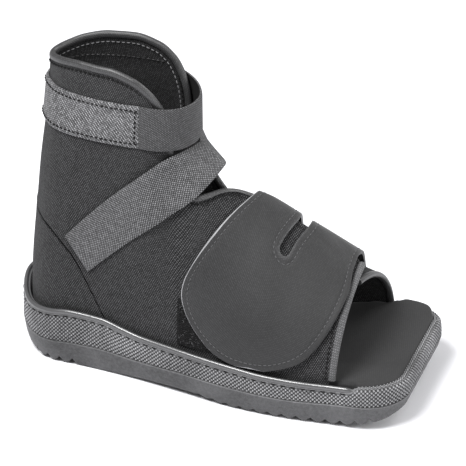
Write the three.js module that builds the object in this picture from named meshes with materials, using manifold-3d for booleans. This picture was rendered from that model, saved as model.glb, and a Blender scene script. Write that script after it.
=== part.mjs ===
// An open-toe cast boot: a moulded cup sole, a soft upper that opens over the instep,
// a broad forefoot flap and two webbing straps. The foot goes in from the top and the front.
// Millimetres, +X to the toe, +Y to the left, +Z up, floor at Z = 0, centred on the sole.

import * as THREE from 'three';
import { mergeVertices } from 'three/addons/utils/BufferGeometryUtils.js';
import ManifoldModule from 'manifold-3d';

// Driving dimensions of the sole
const SOLE_LENGTH = 300;
const HEEL_HALF_WIDTH = 47;
const HEEL_ROUND = 42; // length of the rounded heel end along X
const BALL_HALF_WIDTH = 65.5;
const WAIST_PULL = 0.4; // how far the heel's and the ball's straight runs reach towards each other
const BALL_PULL = 0.62;
// The near side is the outer side of a right foot and the far side the big toe's: where each is widest,
// where its toe corner starts to turn, how wide it is there and half of the straight toe edge.
const SIDES = {
  near: { sign: -1, ballX: 56, cornerX: 115, cornerHalf: 62.5, toeHalf: 35 },
  far: { sign: 1, ballX: 98, cornerX: 125, cornerHalf: 65, toeHalf: 41 },
};
const RIM_WIDTH = 6; // wall of the cup at its top
const WELT_END_X = 117; // the smooth bead stops here, near the toe
const WELT_HEIGHT = 4.8;
const WELT_WIDTH = 5;
const INSOLE_THICKNESS = 5;
const INSOLE_SPREAD = { from: 113, to: 119 }; // past the upper the insole widens to the rim
const NOTCH_RADIUS = 2.9; // tread notches across the underside
const HEEL_NOTCHES = { first: -143, pitch: 10.5, count: 4 };
const FOREFOOT_NOTCHES = { first: 40, pitch: 11.8, count: 9 };

// Driving dimensions of the soft pieces
const WALL = 3; // padded upper
const BINDING_RADIUS = 2.9; // tape folded round the raw edge
const BINDING_SIDES = 8;
const STRAP_THICKNESS = 1.8;
const FLAP_THICKNESS = 2.6;
const PATCH_THICKNESS = 1.2;
const FLAP_LIFT = 2.2; // flap above the vamp, with the patch between
const GAP = 0.3; // clearance between neighbouring pieces
const LAY = 0.4; // a strap's clearance over the upper it lies on

// Short tables are written as rows under named columns.
function table(names, ...rows) {
  return rows.map((row) => Object.fromEntries(names.map((name, i) => [name, row[i]])));
}

// Heights of the sole along its length: underside, top of the rim and top of the insole.
const SOLE_HEIGHTS = table(['x', 'under', 'rim', 'foot'],
  [-150, 15, 49.5, 33],
  [-146, 9, 44, 33],
  [-136, 3.5, 41.5, 33],
  [-118, 0, 43.2, 32.5],
  [-100, 0, 45.4, 32],
  [-76, 0, 44.6, 31],
  [-58, 0.6, 40.5, 30],
  [-44, 1.4, 38, 29.5],
  [-10, 2.6, 36.3, 28.5],
  [28, 0, 34.4, 28],
  [52, 0, 32.8, 28.2],
  [85, 0, 32.4, 29.2],
  [102, 0.5, 32.8, 31],
  [118, 2.6, 33.6, 32.6],
  [135, 6.5, 35, 34],
  [150, 13, 36.5, 35.6]);

// The outer wall of the sole, from the underside up: how far in from the outline, the share of
// the way up to the rim seat and a further lift, beside the welt and round the bare toe.
const SOLE_WALL = table(['share', 'weltInset', 'weltLift', 'toeInset', 'toeLift'],
  [0, 7.5, 0, 7.5, 0],
  [0, 3.2, 1.4, 3.2, 1.4],
  [0.24, 0.9, 0, 1.2, 0],
  [0.55, 0, 0, 0, 0],
  [0.86, 0.2, 0, 0.4, -1.6],
  [1, 0.5, 0, 2.8, -1.2],
  [1, RIM_WIDTH, 0, RIM_WIDTH, 0]);

// Section of the welt, as shares of its width from the outside in and of its height.
const WELT_SECTION = table(['inward', 'up'],
  [0, 0], [1, 0], [1, 0.55], [0.86, 0.86], [0.5, 1], [0.14, 0.86], [0, 0.5]);

// Ribs of the upper rise from the cup to its top edge. x: place along the sole outline, lean: how far
// the top lies forward of the foot of the rib, half: the top's distance from the centre plane (negative
// past it), z: its height. bulge, rise, crown and drop shape the curve between the two ends.
const RIB_COLUMNS = ['x', 'lean', 'half', 'z', 'bulge', 'rise', 'crown', 'drop'];
const REAR_RIBS = table(RIB_COLUMNS,
  [-150, 17, 0, 226, 6, 68, -3, 47],
  [-143, 17, 12, 228, 4, 66, -1, 47],
  [-128, 15.5, 21, 231, 3, 64, 2, 50],
  [-107, 14, 27, 233, 2, 62, 2.5, 55],
  [-84, 9, 30, 233, 1.5, 60, 3, 60],
  [-62, 4.5, 30.5, 228.5, 1.5, 60, 3, 58],
  [-48.5, 1.5, 29.5, 221, 1.5, 60, 3, 56],
  [-39, -1.5, 27.5, 212, 1.5, 58, 3, 54],
  [-33, -3, 25, 201, 1.5, 56, 3, 50]);
const NEAR_RIBS = REAR_RIBS.concat(table(RIB_COLUMNS,
  [-29, -5, 24, 187, 1.5, 53, 3.5, 45],
  [-25, -7, 24, 172, 1.5, 50, 4, 40],
  [-21, -6, 25, 158, 1.5, 46, 5, 36],
  [-17, -3, 26, 148, 1.5, 43, 6, 32],
  [-12, -1, 25.5, 142.5, 1.5, 42, 8, 29],
  [-6, 0, 21, 143, 1.5, 43, 14, 22],
  [1, 0, 12, 143.5, 1.5, 45, 22, 15],
  [15, 0, -2, 137.5, 1.5, 46, 30, 8],
  [34, 0, -7, 129, 1.5, 46, 30, 5],
  [60, 0, -7, 116, 1, 43, 28, 4],
  [84, 0, -7, 104, 1, 41, 27, 3],
  [99, 2.5, -6, 95.5, 1, 40, 26, 2]));
const FAR_RIBS = REAR_RIBS.concat(table(RIB_COLUMNS,
  [-29, -5, 24, 187, 1.5, 53, 3.5, 45],
  [-25, -7, 23, 171, 1.5, 50, 5, 38],
  [-18, -5, 20.5, 153, 1.5, 46, 9, 30],
  [-9, -1, 14.5, 139, 1.5, 44, 16, 22],
  [-1, 0, 7, 134.5, 1.5, 44, 22, 16],
  [15, 0, 0, 129.5, 1.5, 44, 28, 9],
  [34, 0, -0.5, 122, 1.5, 43, 28, 6],
  [60, 0, -0.5, 109.5, 1, 40, 27, 5],
  [84, 0, -1, 97, 1, 37, 26, 4],
  [109, -7, -6, 87, 1, 36, 28, 3]));
const RIB_STEPS = 2; // ribs drawn for each row of the tables
const RIB_POINTS = 9; // points up each rib

// The seam of the heel panel, seen from the side, from the back of the heel down to the sole.
const HEEL_SEAM = table(['x', 'z'],
  [-170, 112], [-142, 110.5], [-123, 106], [-103, 91], [-76, 44], [-62, 15]);

// Each toe binding starts above the rim and ends at a share of its rib. The collar binding ends under
// the flap on each side, at these rib stations.
const TOE_BINDING = { above: 0.8, end: 0.99 };
const COLLAR_BINDING_NEAR_X = 30;
const COLLAR_BINDING_FAR_X = 4;

// The flap's near half, from the ridge down: its rear and front edges seen from the side.
const FLAP_NEAR = table(['backX', 'backZ', 'frontX', 'frontZ'],
  [21.5, 139.5, 96, 98.2],
  [13.5, 133.6, 97, 95.6],
  [3.5, 121, 98.5, 90],
  [-8.5, 100, 96.5, 80.5],
  [-14, 82, 92.5, 69],
  [-9.5, 67, 86, 57.5],
  [1, 53.5, 78, 48.5],
  [15, 41.5, 66.5, 42.5],
  [30, 37.6, 51.5, 37.8]);
// Its far half ends in a plain sewn edge low on the far side: its place, and the pull of the curve that
// leaves that edge and comes over the ridge.
const FLAP_FAR = { backX: 24, frontX: 91, z: 50, reach: 0.4, over: 0.36, fall: 3 };
const FLAP_COLUMNS = 11;
const FLAP_FAR_ROWS = 8;
// The slot across the ridge: its two ends by X and Y, and the heights that it is cut through.
const SLOT = { far: [64, 24], near: [51, -18], width: 7, fromZ: 60, depth: 100 };
const PATCH = { backX: -17, frontX: 61, bottomZ: 38.5, topZ: 72, columns: 10, rows: 3 }; // under the flap

// The ankle band lies round the back of the collar, and its strap loops free round the front.
const ANKLE = { bottomZ: 180, topZ: 211, seamX: -50, tipX: -18, tipBottomZ: 177, tipTopZ: 208, endX: -91 };
const ANKLE_LOOP_POWER = { near: 2.2, far: 1.72 }; // 2 is an ellipse, and more is squarer
// The instep strap runs from each side of the heel up to the front of the ankle: its edges by X and Z.
const INSTEP_UPPER = { end: [-104.5, 102.5], leave: [-37, 169], front: [-17.2, 172.6] };
const INSTEP_LOWER = { end: [-86.5, 78], leave: [-24, 142.5], front: [0.8, 156.9] };
const INSTEP_FRONT_LIFT = 3.2; // clears the binding where the strap leaves the upper
const INSTEP_BEND = { leave: 0.3, front: 0.16 }; // pull of the free bend, as shares of its length

// Finishes, read from the object: colour, roughness, metalness
const FINISHES = {
  sole: [0x66676a, 0.62, 0],
  welt: [0x7d7e81, 0.34, 0],
  insole: [0x3b3b3d, 0.8, 0],
  fabric: [0x3d3d40, 0.92, 0],
  binding: [0x55565a, 0.7, 0],
  webbing: [0x737377, 0.85, 0],
  flap: [0x474749, 0.72, 0],
  patch: [0x1d1d1f, 0.98, 0],
};

// Curve helpers

function mix(a, b, share) {
  return a + (b - a) * share;
}

// A smooth function through one column of a table, with no overshoot between its rows.
function column(rows, by, key) {
  const at = rows.map((row) => row[by]);
  const value = rows.map((row) => row[key]);
  const slope = at.slice(1).map((x, i) => (value[i + 1] - value[i]) / (x - at[i]));
  const tangent = at.map((x, i) => {
    const before = slope[i - 1] ?? slope[i];
    const after = slope[i] ?? slope[i - 1];
    return before * after <= 0 ? 0 : (2 * before * after) / (before + after);
  });
  return (x) => {
    const clamped = THREE.MathUtils.clamp(x, at[0], at[at.length - 1]);
    let i = 0;
    while (i < at.length - 2 && clamped > at[i + 1]) i += 1;
    const span = at[i + 1] - at[i];
    const t = (clamped - at[i]) / span;
    const blend = t * t * (3 - 2 * t);
    const bend = t * (1 - t) * span;
    return mix(value[i], value[i + 1], blend) + bend * (tangent[i] * (1 - t) - tangent[i + 1] * t);
  };
}

// The argument where a rising function reaches a value.
function solve(low, high, value, f) {
  let [a, b] = [low, high];
  for (let step = 0; step < 40; step += 1) {
    const middle = (a + b) / 2;
    if (f(middle) < value) a = middle;
    else b = middle;
  }
  return (a + b) / 2;
}

function range(count) {
  return Array.from({ length: count }, (_, i) => i);
}

// Solid helpers

// A closed geometry from points and triangles, turned so that its faces point out.
function solidGeometry(points, triangles) {
  let volume = 0;
  for (const [a, b, c] of triangles) {
    volume += points[a].dot(new THREE.Vector3().crossVectors(points[b], points[c]));
  }
  const faces = volume < 0 ? triangles.map(([a, b, c]) => [a, c, b]) : triangles;
  const geometry = new THREE.BufferGeometry();
  geometry.setAttribute('position', new THREE.Float32BufferAttribute(points.flatMap((p) => p.toArray()), 3));
  geometry.setIndex(faces.flat());
  return geometry;
}

// A solid sheet: a grid of points, thickened between two distances along its own normals.
function sheetGeometry(grid, inner, outer) {
  const rows = grid.length;
  const columns = grid[0].length;
  const at = (i, j) => grid[THREE.MathUtils.clamp(i, 0, rows - 1)][THREE.MathUtils.clamp(j, 0, columns - 1)];
  const normal = (i, j) => {
    const across = at(i, j + 1).clone().sub(at(i, j - 1));
    const along = at(i + 1, j).clone().sub(at(i - 1, j));
    return across.cross(along).normalize();
  };
  const layer = (distance) => range(rows * columns).map((k) => {
    const [i, j] = [Math.floor(k / columns), k % columns];
    return grid[i][j].clone().addScaledVector(normal(i, j), distance);
  });
  const points = layer(outer).concat(layer(inner));
  const under = rows * columns;
  const triangles = [];
  const quad = (a, b, c, d) => triangles.push([a, b, c], [a, c, d]);
  for (let i = 0; i < rows - 1; i += 1) {
    for (let j = 0; j < columns - 1; j += 1) {
      const [a, b] = [i * columns + j, (i + 1) * columns + j];
      quad(a, a + 1, b + 1, b);
      quad(under + b, under + b + 1, under + a + 1, under + a);
    }
    const [start, next] = [i * columns, (i + 1) * columns];
    const [end, nextEnd] = [start + columns - 1, next + columns - 1];
    quad(start, next, under + next, under + start);
    quad(nextEnd, end, under + end, under + nextEnd);
  }
  const last = (rows - 1) * columns;
  for (let j = 0; j < columns - 1; j += 1) {
    quad(j + 1, j, under + j, under + j + 1);
    quad(last + j, last + j + 1, under + last + j + 1, under + last + j);
  }
  return solidGeometry(points, triangles);
}

// A solid lofted through rings that each hold the whole outline, its ends closed from side to side.
function loftGeometry(rings) {
  const size = rings[0].length;
  const triangles = [];
  for (let k = 0; k < rings.length - 1; k += 1) {
    for (let i = 0; i < size; i += 1) {
      const [a, b] = [k * size + i, k * size + ((i + 1) % size)];
      triangles.push([a, b, b + size], [a, b + size, a + size]);
    }
  }
  const half = size / 2;
  const closeEnd = (base, turn) => {
    for (let i = 0; i < half; i += 1) {
      const [far, farNext] = [base + i, base + i + 1];
      const [near, nearNext] = [base + ((size - i) % size), base + size - i - 1];
      const faces = [];
      if (near !== far) faces.push([far, near, nearNext]);
      if (nearNext !== farNext) faces.push([far, nearNext, farNext]);
      triangles.push(...(turn ? faces.map(([a, b, c]) => [a, c, b]) : faces));
    }
  };
  closeEnd(0, false);
  closeEnd((rings.length - 1) * size, true);
  return solidGeometry(rings.flat(), triangles);
}

// A solid swept through sections of equal size, its two ends closed by fans.
function sweepGeometry(sections) {
  const size = sections[0].length;
  const triangles = [];
  for (let k = 0; k < sections.length - 1; k += 1) {
    for (let i = 0; i < size; i += 1) {
      const [a, b] = [k * size + i, k * size + ((i + 1) % size)];
      triangles.push([a, b, b + size], [a, b + size, a + size]);
    }
  }
  const last = (sections.length - 1) * size;
  for (let i = 1; i < size - 1; i += 1) {
    triangles.push([0, i + 1, i], [last, last + i, last + i + 1]);
  }
  return solidGeometry(sections.flat(), triangles);
}

const wasm = await ManifoldModule();
wasm.setup();

function toSolid(geometry) {
  const bare = geometry.clone();
  bare.deleteAttribute('normal');
  bare.deleteAttribute('uv');
  const merged = mergeVertices(bare, 1e-4);
  const vertProperties = new Float32Array(merged.attributes.position.array);
  const triVerts = new Uint32Array(merged.index.array);
  return new wasm.Manifold(new wasm.Mesh({ numProp: 3, vertProperties, triVerts }));
}

function toGeometry(solid) {
  const mesh = solid.getMesh();
  const geometry = new THREE.BufferGeometry();
  geometry.setAttribute('position', new THREE.BufferAttribute(new Float32Array(mesh.vertProperties), 3));
  geometry.setIndex(new THREE.BufferAttribute(new Uint32Array(mesh.triVerts), 1));
  return geometry;
}

// The sole outline of one side, from the back of the heel to the middle of the toe, drawn on +Y.

const heelX = HEEL_ROUND - SOLE_LENGTH / 2;
const toeX = SOLE_LENGTH / 2;

function halfOutline({ ballX, cornerX, cornerHalf, toeHalf }) {
  const path = new THREE.Path();
  path.moveTo(-toeX, 0);
  path.absellipse(heelX, 0, HEEL_ROUND, HEEL_HALF_WIDTH, Math.PI, Math.PI / 2, true);
  const [waist, swell] = [mix(heelX, ballX, WAIST_PULL), mix(heelX, ballX, BALL_PULL)];
  path.bezierCurveTo(waist, HEEL_HALF_WIDTH, swell, BALL_HALF_WIDTH, ballX, BALL_HALF_WIDTH);
  const middle = mix(ballX, cornerX, 0.5);
  path.bezierCurveTo(middle, BALL_HALF_WIDTH, middle, cornerHalf, cornerX, cornerHalf);
  path.absellipse(cornerX, toeHalf, toeX - cornerX, cornerHalf - toeHalf, Math.PI / 2, 0, true);
  path.lineTo(toeX, 0);
  return path;
}

const outlines = { near: halfOutline(SIDES.near), far: halfOutline(SIDES.far) };
const outlineShare = (side, x) => solve(0, 1, x, (share) => outlines[side].getPoint(share).x);

// A point of one side's outline moved in by some distance, with the outward direction there.
function outlinePoint(side, share, inset) {
  const { sign } = SIDES[side];
  const point = outlines[side].getPoint(share);
  const tangent = outlines[side].getTangent(share);
  const out = new THREE.Vector2(-tangent.y, tangent.x * sign);
  const place = new THREE.Vector2(point.x - out.x * inset, point.y * sign - out.y * inset);
  return { x: point.x, out, place };
}

const under = column(SOLE_HEIGHTS, 'x', 'under');
const rim = column(SOLE_HEIGHTS, 'x', 'rim');
const foot = column(SOLE_HEIGHTS, 'x', 'foot');
const cupFloor = (x) => foot(x) - INSOLE_THICKNESS - GAP;
const weltSeat = (x) => (x < WELT_END_X ? rim(x) - WELT_HEIGHT : rim(x));

const OUTLINE_STEPS = 38;
const WELT_STEP = 4e-4; // the seat of the welt drops within this share of the outline

function soleShares(side) {
  const weltEnd = outlineShare(side, WELT_END_X);
  const even = range(OUTLINE_STEPS + 1).map((i) => i / OUTLINE_STEPS);
  return even.concat([weltEnd - WELT_STEP, weltEnd + WELT_STEP]).sort((a, b) => a - b);
}

// A ring round the whole sole: far side from heel to toe, then the near side back.
function soleRing(insetAt, heightAt) {
  const [far, near] = ['far', 'near'].map((side) => soleShares(side).map((share) => {
    const { x } = outlinePoint(side, share, 0);
    const { place } = outlinePoint(side, share, insetAt(x));
    return new THREE.Vector3(place.x, place.y, heightAt(x));
  }));
  far[0].y = 0;
  far[far.length - 1].y = 0;
  return far.concat(near.slice(1, -1).reverse());
}

function outsoleGeometry() {
  const rings = SOLE_WALL.map((row) => soleRing(
    (x) => (x < WELT_END_X ? row.weltInset : row.toeInset),
    (x) => mix(under(x), weltSeat(x), row.share) + (x < WELT_END_X ? row.weltLift : row.toeLift),
  ));
  rings.push(soleRing(() => RIM_WIDTH, cupFloor));
  let solid = toSolid(loftGeometry(rings));
  const notch = new THREE.CylinderGeometry(NOTCH_RADIUS, NOTCH_RADIUS, SOLE_LENGTH / 2, 6);
  for (const { first, pitch, count } of [HEEL_NOTCHES, FOREFOOT_NOTCHES]) {
    for (let i = 0; i < count; i += 1) {
      const x = first + pitch * i;
      solid = solid.subtract(toSolid(notch.clone().translate(x, 0, under(x))));
    }
  }
  return toGeometry(solid);
}

// The welt: a smooth bead seated on the rim, from one side of the toe round the heel to the other.
function weltGeometry() {
  const section = WELT_SECTION.map(({ inward, up }) => [WELT_WIDTH * inward, up]);
  const outerInset = (RIM_WIDTH - WELT_WIDTH) / 2;
  const [far, near] = ['far', 'near'].map((side) => {
    const end = outlineShare(side, WELT_END_X) - WELT_STEP * 3;
    const shares = soleShares(side).filter((share) => share < end).concat([end]);
    return shares.map((share) => section.map(([inward, up]) => {
      const { x, place } = outlinePoint(side, share, outerInset + inward);
      return new THREE.Vector3(place.x, place.y, weltSeat(x) + GAP + up * (WELT_HEIGHT - GAP));
    }));
  });
  far[0].forEach((p) => { p.y = 0; });
  return sweepGeometry(near.slice(1).reverse().concat(far));
}

function insoleGeometry() {
  const besideUpper = RIM_WIDTH + WALL + 4 * GAP;
  const bareToe = RIM_WIDTH + GAP;
  const { from, to } = INSOLE_SPREAD;
  const inset = (x) => mix(besideUpper, bareToe, THREE.MathUtils.smoothstep(x, from, to));
  return loftGeometry([
    soleRing(inset, (x) => cupFloor(x) + GAP),
    soleRing(inset, (x) => foot(x) - 0.9),
    soleRing((x) => inset(x) + 1, foot),
  ]);
}

// The upper

const ribShapes = Object.fromEntries([['near', NEAR_RIBS], ['far', FAR_RIBS]].map(([side, rows]) => [
  side, Object.fromEntries(RIB_COLUMNS.slice(1).map((key) => [key, column(rows, 'x', key)])),
]));

// One rib of the outer surface, as a curve from the cup to the top edge.
function rib(side, x) {
  const { sign } = SIDES[side];
  const shape = ribShapes[side];
  const { out, place } = outlinePoint(side, outlineShare(side, x), RIM_WIDTH + 2 * GAP);
  const outward = new THREE.Vector3(out.x, out.y, 0);
  const lean = shape.lean(x);
  const base = new THREE.Vector3(place.x, place.y, cupFloor(x) + 2 * GAP);
  const top = new THREE.Vector3(place.x + lean, shape.half(x) * sign, shape.z(x));
  const low = base.clone().addScaledVector(outward, shape.bulge(x));
  low.add(new THREE.Vector3(lean / 3, 0, shape.rise(x)));
  const high = top.clone().addScaledVector(outward, shape.crown(x));
  high.sub(new THREE.Vector3(lean / 3, 0, shape.drop(x)));
  const ahead = new THREE.Vector3(out.y * sign, -out.x * sign, 0);
  return { curve: new THREE.CubicBezierCurve3(base, low, high, top), ahead, sign };
}

// A point of a rib, lifted outward.
function liftedPoint({ curve, ahead, sign }, t, lift) {
  const outward = new THREE.Vector3().crossVectors(curve.getTangent(t), ahead);
  outward.multiplyScalar(sign).normalize();
  return curve.getPoint(t).addScaledVector(outward, lift);
}

// The point of the upper's side at a given X and height, lifted outward.
function pointAtHeight(side, station, z, lift) {
  const line = rib(side, station);
  const t = solve(0, 1, z, (share) => liftedPoint(line, share, lift).z);
  return liftedPoint(line, t, lift);
}

function wallPoint(side, x, z, lift) {
  const [first, last] = [NEAR_RIBS[0].x + 1, NEAR_RIBS[NEAR_RIBS.length - 1].x - 2];
  const station = solve(first, last, x, (at) => pointAtHeight(side, at, z, lift).x);
  return pointAtHeight(side, station, z, lift);
}

// Rib stations between the rows of a table, evenly along the outline.
function ribStations(side, rows) {
  const shares = rows.map((row) => outlineShare(side, row.x));
  const between = shares.slice(1).flatMap((share, i) => range(RIB_STEPS)
    .map((k) => mix(shares[i], share, (k + 1) / RIB_STEPS)));
  return [shares[0], ...between].map((share) => outlinePoint(side, share, 0).x);
}

const nearStations = ribStations('near', NEAR_RIBS);
const farStations = ribStations('far', FAR_RIBS);
const upperColumns = nearStations.slice(1).reverse().map((x) => ['near', x])
  .concat(farStations.map((x) => ['far', x]));

function upperGrid() {
  return upperColumns.map(([side, x]) => {
    const { curve } = rib(side, x);
    const points = curve.getPoints(RIB_POINTS - 1);
    if (x === farStations[0]) points.forEach((p) => { p.y = 0; });
    return points;
  });
}

// The middle of the wall along the top edge, or up one rib.
function wallMiddle(side, x, t) {
  return liftedPoint(rib(side, x), t, -WALL / 2);
}

function tubeGeometry(points, radius, steps) {
  const path = new THREE.CatmullRomCurve3(points, false, 'centripetal');
  const circle = new THREE.Shape().absarc(0, 0, radius, 0, 2 * Math.PI);
  const options = { steps, extrudePath: path, curveSegments: BINDING_SIDES / 2, bevelEnabled: false };
  return new THREE.ExtrudeGeometry(circle, options);
}

function collarEdge() {
  return upperColumns
    .filter(([side, x]) => x < (side === 'near' ? COLLAR_BINDING_NEAR_X : COLLAR_BINDING_FAR_X))
    .map(([side, x]) => wallMiddle(side, x, 1));
}

function toeEdge(side) {
  const rows = side === 'near' ? NEAR_RIBS : FAR_RIBS;
  const { x } = rows[rows.length - 1];
  const start = solve(0, 1, Math.max(rim(x), foot(x)) + TOE_BINDING.above, (t) => wallMiddle(side, x, t).z);
  return range(RIB_POINTS).map((i) => wallMiddle(side, x, mix(start, TOE_BINDING.end, i / (RIB_POINTS - 1))));
}

const COLLAR_BINDING_STEPS = 58;
const TOE_BINDING_STEPS = 11;
const bindings = {
  collar_binding: { edge: collarEdge(), steps: COLLAR_BINDING_STEPS },
  toe_binding_near: { edge: toeEdge('near'), steps: TOE_BINDING_STEPS },
  toe_binding_far: { edge: toeEdge('far'), steps: TOE_BINDING_STEPS },
};

function prism(profile, halfWidth) {
  const shape = new THREE.Shape(profile.map(([x, z]) => new THREE.Vector2(x, z)));
  const geometry = new THREE.ExtrudeGeometry(shape, { depth: 2 * halfWidth, bevelEnabled: false });
  return geometry.rotateX(Math.PI / 2).translate(0, halfWidth, 0);
}

// The upper is cut back for its bindings, split along the heel seam, and parted into its near and far
// sides down the middle of the back.
function upperPieces() {
  let whole = toSolid(sheetGeometry(upperGrid(), -WALL, 0));
  for (const { edge, steps } of Object.values(bindings)) {
    whole = whole.subtract(toSolid(tubeGeometry(edge, BINDING_RADIUS + GAP, steps)));
  }
  const heelProfile = (grow) => HEEL_SEAM.map(({ x, z }) => [x + grow, z + grow]).concat([[-170, 15]]);
  const heelPanel = whole.intersect(toSolid(prism(heelProfile(0), SOLE_LENGTH / 4)));
  const quarters = whole.subtract(toSolid(prism(heelProfile(GAP), SOLE_LENGTH / 4)));
  const slit = new THREE.BoxGeometry(SOLE_LENGTH / 3, GAP, SOLE_LENGTH).translate(-toeX, 0, toeX);
  const [near, far] = quarters.subtract(toSolid(slit)).decompose()
    .sort((a, b) => a.boundingBox().min[1] - b.boundingBox().min[1]);
  return { upper_near: toGeometry(near), upper_far: toGeometry(far), heel_panel: toGeometry(heelPanel) };
}

// The flap, from its near edge over the ridge to its sewn far edge

function flapGrid() {
  const level = FLAP_NEAR.map((row, i) => ({ level: i, ...row }));
  const edge = Object.fromEntries(Object.keys(FLAP_NEAR[0]).map((key) => [key, column(level, 'level', key)]));
  const levels = FLAP_NEAR.length - 1;
  const nearRow = (q) => range(FLAP_COLUMNS + 1).map((i) => {
    const share = i / FLAP_COLUMNS;
    const x = mix(edge.backX(q), edge.frontX(q), share);
    if (q === 0) return liftedPoint(rib('near', x), 1, FLAP_LIFT);
    const z = mix(edge.backZ(q), edge.frontZ(q), share) - FLAP_THICKNESS;
    return pointAtHeight('near', x, z, FLAP_LIFT);
  });
  const nearRows = range(2 * levels + 1).map((i) => nearRow(i / 2));
  const farRow = (z) => range(FLAP_COLUMNS + 1).map((i) => {
    const x = mix(FLAP_FAR.backX, FLAP_FAR.frontX, i / FLAP_COLUMNS);
    return pointAtHeight('far', x, z, LAY);
  });
  const [farEnds, rise] = [farRow(FLAP_FAR.z), farRow(FLAP_FAR.z + FLAP_THICKNESS)];
  const farCurves = farEnds.map((end, i) => {
    const ridge = nearRows[0][i];
    const over = ridge.clone().add(new THREE.Vector3(0, FLAP_FAR.over * (end.y - ridge.y), -FLAP_FAR.fall));
    const up = rise[i].clone().sub(end).normalize();
    const down = end.clone().addScaledVector(up, FLAP_FAR.reach * end.distanceTo(ridge));
    return new THREE.CubicBezierCurve3(end, down, over, ridge);
  });
  const farRows = range(FLAP_FAR_ROWS)
    .map((k) => farCurves.map((curve) => curve.getPoint(k / FLAP_FAR_ROWS)));
  return farRows.concat(nearRows).reverse();
}

function flapGeometry() {
  const sheet = toSolid(sheetGeometry(flapGrid(), 0, FLAP_THICKNESS));
  const [far, near] = [new THREE.Vector2(...SLOT.far), new THREE.Vector2(...SLOT.near)];
  const turn = Math.atan2(far.y - near.y, far.x - near.x);
  const stadium = new THREE.Shape();
  stadium.absarc(far.x, far.y, SLOT.width / 2, turn - Math.PI / 2, turn + Math.PI / 2);
  stadium.absarc(near.x, near.y, SLOT.width / 2, turn + Math.PI / 2, turn + (3 * Math.PI) / 2);
  const options = { depth: SLOT.depth, bevelEnabled: false, curveSegments: 5 };
  const cutter = new THREE.ExtrudeGeometry(stadium, options);
  return toGeometry(sheet.subtract(toSolid(cutter.translate(0, 0, SLOT.fromZ))));
}

function patchGeometry() {
  const grid = range(PATCH.rows + 1).map((k) => range(PATCH.columns + 1).map((i) => {
    const x = mix(PATCH.backX, PATCH.frontX, i / PATCH.columns);
    return pointAtHeight('near', x, mix(PATCH.bottomZ, PATCH.topZ, k / PATCH.rows), GAP);
  }));
  return sheetGeometry(grid, 0, PATCH_THICKNESS);
}

// Straps

const BAND_MARGIN = 4; // the last rib used by the band lies this far behind its seam
const STRAP_ROWS = 3; // divisions across a strap's width
const LOOP_STEPS = 12; // divisions of each half of the ankle strap's loop
const LAP_STEPS = 6;
const WALL_STEPS = 10; // divisions of the instep strap on the wall, and of its bend to the front
const BEND_STEPS = 7;

function across(bottom, top) {
  return range(STRAP_ROWS + 1).map((k) => mix(bottom, top, k / STRAP_ROWS));
}

function ankleBandGeometry() {
  const stations = nearStations.filter((x) => x < ANKLE.seamX);
  const levels = across(ANKLE.bottomZ, ANKLE.topZ);
  const near = levels.map((z) => wallPoint('near', ANKLE.seamX, z, LAY));
  const far = levels.map((z) => wallPoint('far', ANKLE.seamX, z, LAY));
  const middle = ['near', 'far'].map((side) => stations
    .filter((x) => pointAtHeight(side, x, ANKLE.topZ, LAY).x < ANKLE.seamX - BAND_MARGIN)
    .map((x) => levels.map((z) => pointAtHeight(side, x, z, LAY))));
  const [nearSide, farSide] = middle;
  farSide[0].forEach((p) => { p.y = 0; });
  const grid = [near, ...nearSide.slice(1).reverse(), ...farSide, far];
  return sheetGeometry(grid, 0, STRAP_THICKNESS);
}

// Free loop in front, then back along the far side over the band.
function ankleStrapGeometry() {
  const levels = across(ANKLE.bottomZ, ANKLE.topZ);
  const nearStart = levels.map((z) => wallPoint('near', ANKLE.seamX + GAP, z, LAY));
  const farLift = LAY + STRAP_THICKNESS + LAY;
  const farStart = levels.map((z) => wallPoint('far', ANKLE.seamX, z, farLift));
  const tipLevels = across(ANKLE.tipBottomZ, ANKLE.tipTopZ);
  const quarter = (start, power, angle) => start.map((p, k) => {
    const forward = Math.sin(angle) ** (2 / power);
    const side = Math.cos(angle) ** (2 / power);
    return new THREE.Vector3(mix(p.x, ANKLE.tipX, forward), p.y * side, mix(p.z, tipLevels[k], forward));
  });
  const angles = range(LOOP_STEPS).map((i) => (Math.PI / 2) * (i / LOOP_STEPS));
  const nearLoop = angles.map((angle) => quarter(nearStart, ANKLE_LOOP_POWER.near, angle));
  const tip = [quarter(nearStart, ANKLE_LOOP_POWER.near, Math.PI / 2).map((p) => p.setY(0))];
  const farLoop = angles.map((angle) => quarter(farStart, ANKLE_LOOP_POWER.far, angle)).reverse();
  const lap = range(LAP_STEPS).map((i) => levels
    .map((z) => wallPoint('far', mix(ANKLE.seamX, ANKLE.endX, (i + 1) / LAP_STEPS), z, farLift)));
  return sheetGeometry([...nearLoop, ...tip, ...farLoop, ...lap].reverse(), 0, STRAP_THICKNESS);
}

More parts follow.
